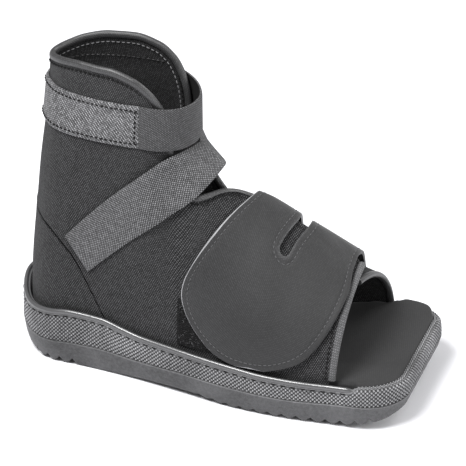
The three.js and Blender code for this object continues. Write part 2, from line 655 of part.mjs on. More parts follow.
function instepStrapGeometry() {
  const edgePoint = ({ end, leave }, share) => [0, 1].map((k) => mix(end[k], leave[k], share));
  const line = (width) => {
    const wall = range(WALL_STEPS + 1).map((i) => {
      const share = i / WALL_STEPS;
      const [upper, lower] = [edgePoint(INSTEP_UPPER, share), edgePoint(INSTEP_LOWER, share)];
      const lift = mix(LAY, INSTEP_FRONT_LIFT, THREE.MathUtils.smoothstep(share, 0.45, 0.9));
      return wallPoint('near', mix(lower[0], upper[0], width), mix(lower[1], upper[1], width), lift);
    });
    const start = wall[wall.length - 1];
    const tangent = start.clone().sub(wall[wall.length - 2]).setY(0).normalize();
    const front = new THREE.Vector3(mix(INSTEP_LOWER.front[0], INSTEP_UPPER.front[0], width), 0,
      mix(INSTEP_LOWER.front[1], INSTEP_UPPER.front[1], width));
    const reach = start.distanceTo(front);
    const bend = new THREE.CubicBezierCurve3(start,
      start.clone().addScaledVector(tangent, reach * INSTEP_BEND.leave),
      front.clone().add(new THREE.Vector3(0, -reach * INSTEP_BEND.front, 0)), front);
    const half = wall.concat(bend.getPoints(BEND_STEPS).slice(1));
    const mirrored = half.slice(0, -1).reverse().map((p) => new THREE.Vector3(p.x, -p.y, p.z));
    return half.concat(mirrored);
  };
  const lines = range(STRAP_ROWS + 1).map((k) => line(1 - k / STRAP_ROWS));
  const grid = lines[0].map((_, i) => lines.map((points) => points[i]));
  return sheetGeometry(grid, 0, STRAP_THICKNESS);
}

// Assembly

const boot = new THREE.Group();

function addPiece(name, geometry, finish) {
  const [color, roughness, metalness] = FINISHES[finish];
  const mesh = new THREE.Mesh(geometry, new THREE.MeshStandardMaterial({ color, roughness, metalness }));
  mesh.name = name;
  boot.add(mesh);
}

addPiece('outsole', outsoleGeometry(), 'sole');
addPiece('welt', weltGeometry(), 'welt');
addPiece('insole', insoleGeometry(), 'insole');
for (const [name, geometry] of Object.entries(upperPieces())) addPiece(name, geometry, 'fabric');
for (const [name, { edge, steps }] of Object.entries(bindings)) {
  addPiece(name, tubeGeometry(edge, BINDING_RADIUS, steps), 'binding');
}
addPiece('forefoot_flap', flapGeometry(), 'flap');
addPiece('fastening_patch', patchGeometry(), 'patch');
addPiece('ankle_band', ankleBandGeometry(), 'webbing');
addPiece('ankle_strap', ankleStrapGeometry(), 'webbing');
addPiece('instep_strap', instepStrapGeometry(), 'webbing');

export default boot;
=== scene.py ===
"""An open-toe cast boot: sole, padded upper, forefoot flap and webbing straps, with the stage it stands on.

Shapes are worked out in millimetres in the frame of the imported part: +X to the toe, +Y to the far
side, +Z up, floor at Z = 0.
"""

import math

import bmesh
import bpy
import numpy as np
from bpy.props import FloatProperty, FloatVectorProperty, PointerProperty
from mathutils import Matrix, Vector
from mathutils.bvhtree import BVHTree
from mathutils.kdtree import KDTree


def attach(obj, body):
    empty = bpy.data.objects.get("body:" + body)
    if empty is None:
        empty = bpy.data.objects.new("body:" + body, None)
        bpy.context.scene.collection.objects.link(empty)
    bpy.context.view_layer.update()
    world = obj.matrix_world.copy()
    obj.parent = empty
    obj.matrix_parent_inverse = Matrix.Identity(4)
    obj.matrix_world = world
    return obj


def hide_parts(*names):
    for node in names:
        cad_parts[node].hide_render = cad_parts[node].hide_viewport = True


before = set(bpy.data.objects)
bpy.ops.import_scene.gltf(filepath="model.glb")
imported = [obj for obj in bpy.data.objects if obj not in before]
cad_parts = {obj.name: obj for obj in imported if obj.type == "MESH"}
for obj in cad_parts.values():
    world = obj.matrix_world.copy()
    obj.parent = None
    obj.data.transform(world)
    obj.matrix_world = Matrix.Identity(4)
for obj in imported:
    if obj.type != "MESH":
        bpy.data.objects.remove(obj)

bl_info = {
    "name": "Cast boot",
    "version": (1, 0, 0),
    "blender": (4, 5, 0),
    "location": "View3D > Sidebar > Cast boot",
    "description": "Builds an open-toe cast boot piece by piece, and the stage it stands on",
    "category": "Object",
}

MM = 0.001
SIDES = ("near", "far")

# Sole
SOLE_LENGTH = 300.0
TOE_X = SOLE_LENGTH / 2
BACK_X = -TOE_X
HEEL_HALF_WIDTH = 47.0
HEEL_ROUND = 42.0
HEEL_X = BACK_X + HEEL_ROUND
BALL_HALF_WIDTH = 65.5
RIM_WIDTH = 6.0
WELT_ENDS_X = (117.0, 103.0)
WELT_HEIGHT = 3.5
WELT_WIDTH = 5.0
INSOLE_THICKNESS = 5.0

# Handles of a side's two bends, heel to ball and ball to toe corner, in shares of the way along X
WAIST_PULLS = (0.4, 0.62)
CORNER_PULLS = (0.5, 0.5)

# Tread lumps: first notch, pitch, number of notches, depth, and the run over which they deepen
TREAD_LUMPS = ((-139.0, 10.0, 5, 4.6, 12), (2.0, 10.5, 13, 4.0, 110))
LUMP_POWER = 1.8

# Soft pieces
WALL = 3.0
STRAP_THICKNESS = 1.8
FLAP_THICKNESS = 2.6
PATCH_THICKNESS = 1.2
FLAP_LIFT = 2.2

# Gap between neighbours, and how far a sewn sheet lies off the wall
GAP = 0.3
LAY = 0.4

# Heights along the sole: place, underside, rim and top of the insole
SOLE_HEIGHTS = (
    (-150, 15, 49.5, 33),
    (-146, 9, 44, 33),
    (-136, 3.5, 41.5, 33),
    (-118, 0, 43.2, 32.5),
    (-100, 0, 45.4, 32),
    (-76, 0, 44.6, 31),
    (-58, 0.6, 40.5, 30),
    (-44, 1.4, 38, 29.5),
    (-10, 2.6, 36.3, 28.5),
    (28, 0, 34.4, 28),
    (52, 0, 32.8, 28.2),
    (85, 0, 32.4, 29.2),
    (102, 0.5, 32.8, 31),
    (118, 2.6, 33.6, 32.6),
    (135, 6.5, 35, 34),
    (150, 13, 36.5, 35.6),
)

# Ribs of the upper: place along the outline, lean, half width, height, bulge, rise, crown, drop
REAR_RIBS = (
    (-150, 17, 0, 226, 6, 68, -3, 47),
    (-143, 17, 12, 228, 4, 66, -1, 47),
    (-128, 15.5, 21, 231, 3, 64, 2, 50),
    (-107, 14, 27, 233, 2, 62, 2.5, 55),
    (-84, 9, 30, 233, 1.5, 60, 3, 60),
    (-62, 4.5, 30.5, 228.5, 1.5, 60, 3, 58),
    (-48.5, 1.5, 29.5, 221, 1.5, 60, 3, 56),
    (-39, -1.5, 27.5, 212, 1.5, 58, 3, 54),
    (-33, -3, 25, 201, 1.5, 56, 3, 50),
    (-29, -5, 24, 187, 1.5, 53, 3.5, 45),
)
NEAR_RIBS = REAR_RIBS + (
    (-25, -7, 24, 172, 1.5, 50, 4, 40),
    (-21, -6, 25, 158, 1.5, 46, 5, 36),
    (-17, -3, 26, 148, 1.5, 43, 6, 32),
    (-12, -1, 25.5, 142.5, 1.5, 42, 8, 29),
    (-6, 0, 21, 143, 1.5, 43, 14, 22),
    (1, 0, 12, 143.5, 1.5, 45, 22, 15),
    (15, 0, -2, 137.5, 1.5, 46, 30, 8),
    (34, 0, -7, 129, 1.5, 46, 30, 5),
    (60, 0, -7, 116, 1, 43, 28, 4),
    (84, 0, -7, 104, 1, 41, 27, 3),
    (99, 2.5, -6, 95.5, 1, 40, 26, 2),
)
FAR_RIBS = REAR_RIBS + (
    (-25, -7, 23, 171, 1.5, 50, 5, 38),
    (-18, -5, 20.5, 153, 1.5, 46, 9, 30),
    (-9, -1, 14.5, 139, 1.5, 44, 16, 22),
    (-1, 0, 7, 134.5, 1.5, 44, 22, 16),
    (15, 0, 0, 129.5, 1.5, 44, 28, 9),
    (34, 0, -0.5, 122, 1.5, 43, 28, 6),
    (60, 0, -0.5, 109.5, 1, 40, 27, 5),
    (84, 0, -1, 97, 1, 37, 26, 4),
    (109, -7, -6, 87, 1, 36, 28, 3),
)
# X and Z along the heel seam
HEEL_SEAM = ((-170, 112), (-142, 110.5), (-123, 106), (-103, 91), (-76, 44), (-62, 15))

# Flap edges from the ridge down the near side: rear X and Z, front X and Z
FLAP_NEAR = (
    (21.5, 139.5, 96, 98.2),
    (13.5, 133.6, 97, 95.6),
    (3.5, 121, 98.5, 90),
    (-8.5, 100, 96.5, 80.5),
    (-14, 82, 92.5, 69),
    (-9.5, 67, 86, 57.5),
    (1, 53.5, 78, 48.5),
    (15, 41.5, 66.5, 42.5),
    (30, 37.6, 51.5, 37.8),
)
FLAP_FAR_X = (24.0, 91.0)
FLAP_FAR_Z = 50.0

# The slot: its middle line seen from above, half its width, and the height above which it is cut
SLOT_LINE = ((52.6, -20.5), (59.5, 7.0), (51.0, 40.0))
SLOT_HALF = 3.7
SLOT_LOW = 62.0
PATCH_X = (-17.0, 61.0)
PATCH_Z = (38.5, 72.0)

# Straps
STRAP_ROWS = 30
STRAP_COLUMNS = 300
BAND_Z = (180.0, 211.0)
BAND_SEAM_X = -50.0

# The free strap: foremost place, lap's end on the far side, and powers of its two rounded quarters
LOOP_TIP_X = -18.0
LOOP_TIP_Z = (177.0, 208.0)
LOOP_END_X = -91.0
LOOP_POWER_NEAR = 2.2
LOOP_POWER_FAR = 1.72

# X and Z of the instep strap's edges: at its end, where it leaves the wall, and at the front
INSTEP_UPPER = np.array(((-104.5, 102.5), (-37, 169), (-17.2, 172.6)))
INSTEP_LOWER = np.array(((-86.5, 78), (-17.6, 138), (0.8, 156.9)))
INSTEP_ARCH = 3.0
INSTEP_FRONT_LIFT = 3.2


# Curves


def mix(a, b, share):
    return a + (b - a) * share


def ridge(distance, place, half):
    """A smooth ridge of height 1 at a distance, so wide to each side."""
    return np.exp(-(((distance - place) / half) ** 2))


def eased(count):
    """Shares from 0 to 1 that lie closer together at both ends."""
    return (1 - np.cos(np.linspace(0, math.pi, count))) / 2


def smoothstep(low, high, value):
    t = np.clip((np.asarray(value, float) - low) / (high - low), 0, 1)
    return t * t * (3 - 2 * t)


def unit(v):
    return v / np.maximum(np.linalg.norm(v, axis=-1, keepdims=True), 1e-9)


def smooth_column(rows, key):
    """A smooth function through one column of a table, with no overshoot between its rows."""
    at = np.array([row[0] for row in rows], float)
    value = np.array([row[key] for row in rows], float)
    slope = np.diff(value) / np.diff(at)
    before = np.concatenate([slope[:1], slope])
    after = np.concatenate([slope, slope[-1:]])
    rising = before * after > 0
    tangent = np.where(rising, 2 * before * after / np.where(rising, before + after, 1), 0)

    def value_at(x):
        x = np.clip(np.asarray(x, float), at[0], at[-1])
        i = np.clip(np.searchsorted(at, x) - 1, 0, len(at) - 2)
        span = at[i + 1] - at[i]
        t = (x - at[i]) / span
        bend = t * (1 - t) * span
        blend = t * t * (3 - 2 * t)
        return mix(value[i], value[i + 1], blend) + bend * (tangent[i] * (1 - t) - tangent[i + 1] * t)

    return value_at


def bezier(p, t):
    s = 1 - t
    return p[0] * s**3 + 3 * p[1] * s**2 * t + 3 * p[2] * s * t**2 + p[3] * t**3


def run_along(points):
    """Length along a line of points, from its first point."""
    steps = np.linalg.norm(np.diff(points, axis=0), axis=-1)
    return np.concatenate([[0], np.cumsum(steps)])


def read_along(run, values, at):
    """What the points of a line hold, read at other lengths along it."""
    return np.stack([np.interp(at, run, column) for column in values.T], -1)


def carried_evenly(count, points, *carried):
    """A line with evenly spaced points, and the values that its points carry."""
    run = run_along(points)
    at = np.linspace(0, run[-1], count)
    return [read_along(run, part, at) for part in (points, *carried)]


def evenly(points, count):
    """The same line with evenly spaced points."""
    return carried_evenly(count, points)[0]


def soften(points, spread):
    """The same line with short bends smoothed out over so many points, and its ends kept."""
    reach = 3 * spread
    weight = np.exp(-0.5 * (np.arange(-reach, reach + 1) / spread) ** 2)
    before = 2 * points[:1] - points[reach:0:-1]
    after = 2 * points[-1:] - points[-2 : -reach - 2 : -1]
    longer = np.concatenate([before, points, after])
    return np.stack([np.convolve(column, weight / weight.sum(), "valid") for column in longer.T], -1)


def refine(grid, rows, cols):
    """A smooth grid through a coarse one, at fractional row and column numbers."""

    def through(points, at):
        first = 2 * points[:1] - points[1:2]
        last = 2 * points[-1:] - points[-2:-1]
        padded = np.concatenate([first, points, last])
        i = np.clip(np.floor(at).astype(int), 0, len(points) - 2)
        t = (at - i)[:, None, None]
        p = [padded[i + k] for k in range(4)]
        return 0.5 * (
            2 * p[1]
            + (p[2] - p[0]) * t
            + (2 * p[0] - 5 * p[1] + 4 * p[2] - p[3]) * t**2
            + (3 * p[1] - p[0] - 3 * p[2] + p[3]) * t**3
        )

    tall = through(grid, rows)
    return through(tall.transpose(1, 0, 2), cols).transpose(1, 0, 2)


def grid_normals(grid, towards):
    """The way out at each point of a grid, on the side that towards names."""
    normals = unit(np.cross(np.gradient(grid, axis=0), np.gradient(grid, axis=1)))
    if (normals * towards).sum() < 0:
        normals = -normals
    return normals


def side_bend(start, end, pulls):
    """A bend of the sole's side that leaves and arrives along X."""
    (x0, y0), (x1, y1) = start, end
    handles = [(x0, y0), (mix(x0, x1, pulls[0]), y0), (mix(x0, x1, pulls[1]), y1), (x1, y1)]
    return bezier(np.array(handles), np.linspace(0, 1, 300)[:, None])


class Outline:
    """One side of the sole's outline, from the back of the heel to the middle of the toe."""

    def __init__(self, sign, ball_x, corner_x, corner_half, toe_half):
        turn = np.linspace(0, math.pi / 2, 240)
        heel = np.stack([HEEL_X - HEEL_ROUND * np.cos(turn), HEEL_HALF_WIDTH * np.sin(turn)], -1)
        waist = side_bend((HEEL_X, HEEL_HALF_WIDTH), (ball_x, BALL_HALF_WIDTH), WAIST_PULLS)
        ball = side_bend((ball_x, BALL_HALF_WIDTH), (corner_x, corner_half), CORNER_PULLS)
        across = TOE_X - corner_x
        down = corner_half - toe_half
        corner = np.stack([corner_x + across * np.sin(turn), toe_half + down * np.cos(turn)], -1)
        toe = np.stack([np.full(60, TOE_X), np.linspace(toe_half, 0, 60)], -1)
        body = np.concatenate([heel, waist[1:], ball[1:], corner[1:]])
        self.sign = sign
        self.path = np.concatenate([body, toe[1:]])
        self.run = run_along(self.path)
        self.length = self.run[-1]
        self.body_x = body[:, 0]
        self.body_run = self.run[: len(body)]
        tangent = unit(np.gradient(self.path, axis=0))
        self.out = np.stack([-tangent[:, 1], tangent[:, 0]], -1)

    def run_to(self, x):
        """Length along the outline to a place along X."""
        return np.interp(x, self.body_x, self.body_run)

    def at(self, run):
        """X and Y at lengths along the outline, and the way out there."""
        x, y, out_x, out_y = [np.interp(run, self.run, part) for part in (*self.path.T, *self.out.T)]
        return x, y * self.sign, out_x, out_y * self.sign


OUTLINES = {
    "near": Outline(sign=-1, ball_x=56, corner_x=115, corner_half=62.5, toe_half=35),
    "far": Outline(sign=1, ball_x=98, corner_x=125, corner_half=65, toe_half=41),
}
under = smooth_column(SOLE_HEIGHTS, 1)
rim = smooth_column(SOLE_HEIGHTS, 2)
foot = smooth_column(SOLE_HEIGHTS, 3)
heel_seam = smooth_column(HEEL_SEAM, 1)
RIB_KEYS = ("lean", "half", "z", "bulge", "rise", "crown", "drop")
RIB_SHAPES = {
    side: {key: smooth_column(rows, i + 1) for i, key in enumerate(RIB_KEYS)}
    for side, rows in zip(SIDES, (NEAR_RIBS, FAR_RIBS))
}
ROUND_RIB_X = REAR_RIBS[1][0]
WALL_SEARCH_X = (-149.0, 97.0)
WALL_SEARCH_STEPS = 26


def cup_floor(x):
    return foot(x) - INSOLE_THICKNESS - GAP


def round_the_sole(w):
    """The outline by its length from the heel: negative on the near side, positive on the far side."""
    near = OUTLINES["near"].at(-w)
    far = OUTLINES["far"].at(w)
    return [np.where(w < 0, a, b) for a, b in zip(near, far)]


def inside_rim(edge, inset, z):
    """Points so far in from the sole's outline, at heights z."""
    x, y, out_x, out_y = edge
    return np.stack([x - out_x * inset, y - out_y * inset, z], -1)


def rib_points(side, x, t, lift=0.0):
    """Points of the upper's outer face at stations x and shares t of each rib, and the way out there."""
    line = OUTLINES[side]
    shape = RIB_SHAPES[side]
    x = np.asarray(x, float)
    t = np.broadcast_to(np.asarray(t, float), (len(x), np.shape(t)[-1]))[..., None]
    px, py, ox, oy = line.at(line.run_to(x))
    part = {key: shape[key](x) for key in RIB_KEYS}
    behind = np.clip((x - BACK_X) / (ROUND_RIB_X - BACK_X), 0, 1)
    part["half"] = np.where(behind < 1, shape["half"](ROUND_RIB_X) * np.sqrt(behind), part["half"])
    flat = np.zeros_like(x)
    inset = RIM_WIDTH + 2 * GAP
    out = np.stack([ox, oy, flat], -1)
    base = np.stack([px - ox * inset, py - oy * inset, cup_floor(x) + 2 * GAP], -1)
    top = np.stack([base[:, 0] + part["lean"], part["half"] * line.sign, part["z"]], -1)
    low = base + out * part["bulge"][:, None] + np.stack([part["lean"] / 3, flat, part["rise"]], -1)
    high = top + out * part["crown"][:, None] - np.stack([part["lean"] / 3, flat, part["drop"]], -1)
    p = [q[:, None, :] for q in (base, low, high, top)]
    s = 1 - t
    tangent = (p[1] - p[0]) * s**2 + 2 * (p[2] - p[1]) * s * t + (p[3] - p[2]) * t**2
    ahead = np.stack([oy * line.sign, -ox * line.sign, flat], -1)[:, None, :]
    outward = unit(np.cross(tangent, np.broadcast_to(ahead, tangent.shape))) * line.sign
    lift = np.broadcast_to(np.asarray(lift, float), t.shape[:2])[..., None]
    return bezier(p, t) + outward * lift, outward


def point_at_height(side, x, z, lift):
    """The point of the upper's side at each station and height, lifted outward."""
    x = np.asarray(x, float)
    z = np.broadcast_to(np.asarray(z, float), x.shape)
    lift = np.broadcast_to(np.asarray(lift, float), x.shape)[:, None]
    shares = np.linspace(0, 1, 81)
    heights = rib_points(side, x, shares, lift)[0][..., 2]
    i = np.clip((heights < z[:, None]).sum(1), 1, len(shares) - 1)
    n = np.arange(len(x))
    low = heights[n, i - 1]
    high = heights[n, i]
    t = mix(shares[i - 1], shares[i], np.clip((z - low) / np.maximum(high - low, 1e-6), 0, 1))
    return rib_points(side, x, t[:, None], lift)[0][:, 0]


def wall_point(side, x, z, lift):
    """The point of the upper's side at each X and height, lifted outward."""
    low = np.full(np.shape(x), WALL_SEARCH_X[0])
    high = np.full(np.shape(x), WALL_SEARCH_X[1])
    for _ in range(WALL_SEARCH_STEPS):
        middle = (low + high) / 2
        short = point_at_height(side, middle, z, lift)[:, 0] < x
        low = np.where(short, middle, low)
        high = np.where(short, high, middle)
    return point_at_height(side, (low + high) / 2, z, lift)


# Meshes


class Mould:
    """Collects the points and faces of one piece, in millimetres, with each point's place on the cloth and
    its painted shade.
    """

    def __init__(self):
        self.points = []
        self.cloth = []
        self.hollow = []
        self.faces = []
        self.finish = []
        self.total = 0

    def add(self, points, faces, cloth=None, finish=0, hollow=None):
        """Adds points and faces. Points may have places on the cloth and painted shade, which is negative
        where a highlight is painted.
        """
        points = np.asarray(points, float).reshape(-1, 3)
        place = np.zeros((len(points), 2)) if cloth is None else np.asarray(cloth, float).reshape(-1, 2)
        self.points.append(points)
        self.cloth.append(place)
        self.hollow.append(np.zeros(len(points)) if hollow is None else np.asarray(hollow, float).ravel())
        self.faces += [[i + self.total for i in face] for face in faces]
        self.finish += [finish] * len(faces)
        self.total += len(points)

    def build(self, name, materials, sharp=38.0):
        """Makes the piece. Faces that meet at more than the sharp angle, in degrees, keep a hard edge."""
        points = np.concatenate(self.points) * MM
        if not np.isfinite(points).all():
            raise RuntimeError(f"{name} has points that could not be worked out")
        mesh = bpy.data.meshes.new(name)
        mesh.from_pydata(points.tolist(), [], self.faces)
        for material in materials:
            mesh.materials.append(material)
        mesh.polygons.foreach_set("material_index", self.finish)
        places = np.concatenate(self.cloth)
        places = np.concatenate([places, np.zeros((len(places), 1))], 1)
        attribute = mesh.attributes.new("cloth_mm", "FLOAT_VECTOR", "POINT")
        attribute.data.foreach_set("vector", places.ravel())
        # Each point's painted shade: the materials darken the colour by it, and lighten it as a painted
        # highlight where it is negative
        attribute = mesh.attributes.new("hollow", "FLOAT", "POINT")
        attribute.data.foreach_set("value", np.concatenate(self.hollow))
        work = bmesh.new()
        work.from_mesh(mesh)
        bmesh.ops.recalc_face_normals(work, faces=work.faces)
        work.to_mesh(mesh)
        work.free()
        mesh.shade_smooth()
        mesh.set_sharp_from_angle(angle=math.radians(sharp))
        piece = bpy.data.objects.new(name, mesh)
        bpy.context.collection.objects.link(piece)
        return piece


def grid_faces(rows, cols, ring=False):
    """Four-sided faces of a grid of points, joined end to end along its rows in a ring."""
    index = np.arange(rows * cols).reshape(rows, cols)
    if ring:
        index = np.concatenate([index, index[:, :1]], 1)
    a = index[:-1, :-1]
    b = index[:-1, 1:]
    c = index[1:, 1:]
    d = index[1:, :-1]
    return np.stack([a, b, c, d], -1).reshape(-1, 4).tolist()


def any_corner(points):
    """The faces of a grid that have a corner among the points of a mask."""
    return points[:-1, :-1] | points[:-1, 1:] | points[1:, 1:] | points[1:, :-1]


def add_sheet(mould, outer, inner, cloth, back=0, edge=0, keep=None, hollow=None, painted_highlight_rim=None, plain=None):
    """A closed sheet between two grids.

    Faces left out of keep open a hole right through it, faces in the rim mask take the edge's finish as a
    painted highlight, and an edge between points in plain keeps the face's finish as painted shade.
    """
    rows, cols = outer.shape[:2]
    count = rows * cols
    kept = slice(None) if keep is None else keep.ravel()
    faces = np.array(grid_faces(rows, cols))[kept]
    sides = np.concatenate([faces[:, [k, (k + 1) % 4]] for k in range(4)])
    code = sides[:, 0] * count + sides[:, 1]
    border = sides[~np.isin(code, sides[:, 1] * count + sides[:, 0])]
    walls = np.stack([border[:, 1], border[:, 0], border[:, 0] + count, border[:, 1] + count], -1)
    front_finish = np.zeros(len(faces), int)
    if painted_highlight_rim is not None:
        front_finish[painted_highlight_rim.ravel()[kept]] = edge
    edge_finish = np.full(len(walls), edge)
    if plain is not None:
        edge_finish[plain.ravel()[border].all(axis=1)] = 0
    shade = np.zeros(2 * count)
    if hollow is not None:
        shade[:count] = hollow.ravel()
    start = mould.total
    both = np.concatenate([outer.reshape(-1, 3), inner.reshape(-1, 3)])
    mould.add(both, [], np.tile(cloth.reshape(-1, 2), (2, 1)), hollow=shade)
    backs = (faces[:, ::-1] + count, np.full(len(faces), back))
    for part, finish in ((faces, front_finish), backs, (walls, edge_finish)):
        mould.faces += (part + start).tolist()
        mould.finish += finish.tolist()


def zipper(a, b, along):
    """Triangles between two chains of points, taken in order of how far along each point is."""
    faces = []
    i = 0
    j = 0
    while i < len(a) - 1 or j < len(b) - 1:
        if j == len(b) - 1 or (i < len(a) - 1 and along[a[i + 1]] <= along[b[j + 1]]):
            faces.append([a[i], a[i + 1], b[j]])
            i += 1
        else:
            faces.append([a[i], b[j + 1], b[j]])
            j += 1
    return [face for face in faces if len(set(face)) == 3]


def bar_faces(count, sides):
    """Faces of a closed bar through rings of points, with both ends capped."""
    caps = [list(range(sides)), list(range((count - 1) * sides, count * sides))]
    return grid_faces(count, sides, ring=True) + caps


# One stitch, from end to end: share of its length, width and rise in thread radii
STITCH_SHARES = np.array([0, 0.16, 0.5, 0.84, 1])
STITCH_WIDTHS = np.array([0.4, 0.95, 1, 0.95, 0.4])
STITCH_RISES = np.array([-0.6, 0.45, 0.75, 0.45, -0.6])
STITCH_SIDES = 6


def add_stitches(mould, path, out, cloth_settings, finish=0, heavy=1.0, long=1.0, apart=1.0):
    """Thread stitches along a line on a surface: heavy, long and apart scale the thread, stitch and gap."""
    length = cloth_settings.stitch_length / MM * long
    pitch = length + cloth_settings.stitch_gap / MM * apart
    thick = cloth_settings.thread_radius / MM * heavy
    run = run_along(path)
    count = int(run[-1] // pitch)
    if count == 0:
        return
    starts = (np.arange(count) + 0.5) * run[-1] / count - length / 2
    at = starts[:, None] + STITCH_SHARES * length
    place = read_along(run, path, at)
    up = unit(read_along(run, out, at))
    ahead = unit(np.gradient(place, axis=1))
    aside = unit(np.cross(up, ahead))
    turn = np.arange(STITCH_SIDES) * 2 * math.pi / STITCH_SIDES
    radius = (STITCH_WIDTHS * thick)[None, :, None, None]
    rise = (STITCH_RISES * thick)[None, :, None, None]
    ring = aside[:, :, None] * np.cos(turn)[:, None] * radius
    ring = ring + up[:, :, None] * (np.sin(turn)[:, None] * radius + rise)
    points = place[:, :, None] + ring
    one = bar_faces(len(STITCH_SHARES), STITCH_SIDES)
    size = len(STITCH_SHARES) * STITCH_SIDES
    mould.add(points, [[i + k * size for i in face] for k in range(count) for face in one], finish=finish)


def press_along(points, normals, path, depth, width):
    """Presses a soft groove into a surface along a line."""
    tree = KDTree(len(path))
    for i, p in enumerate(path):
        tree.insert(p, i)
    tree.balance()
    flat = points.reshape(-1, 3)
    distance = np.array([tree.find(p)[2] for p in flat])
    drop = depth * ridge(distance, 0, width)
    return points - normals * drop.reshape(points.shape[:2])[..., None]


def surface_of(grid):
    """A search tree over the faces of a grid, in millimetres."""
    return BVHTree.FromPolygons(grid.reshape(-1, 3).tolist(), grid_faces(*grid.shape[:2]))


def laid_on(tree, path, towards):
    """A line moved to the nearest points of a surface, with the way out there."""
    found = [tree.find_nearest(Vector(p)) for p in path]
    place = np.array([f[0] for f in found])
    out = np.array([f[1] for f in found])
    flip = np.sign((out * towards).sum(-1))
    return place, out * np.where(flip == 0, 1, flip)[:, None]


def settle(piece, slot, *nodes):
    """Puts a piece on the boot's one body, in place of its plain solids. The slot argument is not used."""
    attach(piece, "root")
    if nodes:
        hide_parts(*nodes)
    return piece


# Materials

# dark is how strongly the painted shade of a surface's points darkens its colour
# What a finish has where its own row says nothing else
PLAIN_FINISH = dict(marks=0.15, sheen=0.0, shine=0.3, dark=0.0, weave=None, bump=0.25, fleck=0.0, uneven=0.7)

# A weave is a pitch in millimetres, a turn in degrees and a stretch along the thread
FINISHES = {
    "sole_rubber": dict(rough=0.5, marks=1.9, dark=0.88),
    "welt_rubber": dict(rough=0.24, marks=0.12, shine=0.8),
    "welt_thread": dict(rough=0.8),
    "footbed_cloth": dict(rough=0.75, marks=0.5, sheen=0.15, weave=(1.2, 45, 1.3), bump=0.15, fleck=0.2),
    "upper_knit": dict(
        rough=0.9, marks=0.3, sheen=0.04, shine=0.12, dark=0.9,
        weave=(1.25, 38, 1.3), bump=0.9, fleck=1.15, uneven=0.5,
    ),
    "upper_lining": dict(
        rough=0.9, marks=0.4, sheen=0.02, shine=0.1, weave=(1.15, 45, 1.5), bump=0.8, fleck=0.9
    ),
    "binding_tape": dict(rough=0.42, marks=0.2, shine=0.6, weave=(1.2, 90, 1.4), bump=0.3, fleck=0.5),
    "toe_binding_tape": dict(rough=0.7, marks=0.2, sheen=0.15, weave=(1.2, 50, 1.8), bump=0.8, fleck=0.5),
    "tape_thread": dict(rough=0.7),
    "tape_dark_thread": dict(rough=0.85),
    "flap_cloth": dict(rough=0.6, marks=0.5, sheen=0.1, dark=0.9, weave=(1.1, 20, 1.2), fleck=0.32),
    "flap_core_and_highlight": dict(rough=0.8, marks=1.3),
    "flap_thread": dict(rough=0.7),
    "patch_backing": dict(rough=0.95, marks=0.6, weave=(1.4, 30, 1), bump=0.8, fleck=0.9),
    "patch_pile": dict(rough=0.9, marks=1.2),
    "patch_pale_pile": dict(rough=0.85, marks=0.5),
    "band_webbing": dict(
        rough=0.85, marks=0.3, sheen=0.05, weave=(1.2, 100, 1.7), bump=1.0, fleck=1.0, uneven=0.9
    ),
    "band_thread": dict(rough=0.85),
    "strap_webbing": dict(
        rough=0.85, marks=0.2, sheen=0.08, weave=(1.1, 30, 1.15), bump=0.7, fleck=0.9, uneven=0.5
    ),
    "strap_back": dict(rough=0.95, marks=0.5),
    "instep_webbing": dict(
        rough=0.85, marks=0.2, sheen=0.05, weave=(1.1, 30, 1.15), bump=0.9, fleck=1.05, uneven=0.6
    ),
    "instep_back": dict(rough=0.95, marks=0.5),
}
SHEEN_ROUGH = 0.5
THREAD_HEIGHT = 0.3

# Each row of threads starts this share of a thread later than the last
ROW_SHIFT = 0.37

# Brings the mean of a thread's height to 1
FLECK_SCALE = 2.47

# Handling marks: scale, detail and share of each noise
HANDLING_LEVELS = ((26.0, 3.0, 1.0), (420.0, 2.0, 0.5), (1500.0, 1.0, 0.5))


def feed(tree, node, inputs):
    """Fills a node's inputs, by name or number, with sockets or plain values."""
    for key, value in inputs.items():
        if isinstance(value, bpy.types.NodeSocket):
            tree.links.new(value, node.inputs[key])
        else:
            node.inputs[key].default_value = value
    return node


def add_node(tree, kind, inputs, **choices):
    """A new shader node with its choices made and its inputs filled."""
    node = tree.nodes.new(kind)
    for name, value in choices.items():
        setattr(node, name, value)
    return feed(tree, node, inputs)


def maths(tree, operation, *values):
    """The result of a maths node whose inputs are sockets or plain numbers."""
    return add_node(tree, "ShaderNodeMath", dict(enumerate(values)), operation=operation).outputs[0]


def new_group(name, inputs, outputs):
    """A shader node group that puts out numbers. An input with no default is a vector."""
    tree = bpy.data.node_groups.new(name, "ShaderNodeTree")
    for label, default in inputs.items():
        kind = "NodeSocketVector" if default is None else "NodeSocketFloat"
        socket = tree.interface.new_socket(label, in_out="INPUT", socket_type=kind)
        if default is not None:
            socket.default_value = default
    for label in outputs:
        tree.interface.new_socket(label, in_out="OUTPUT", socket_type="NodeSocketFloat")
    return tree, tree.nodes.new("NodeGroupInput").outputs, tree.nodes.new("NodeGroupOutput")


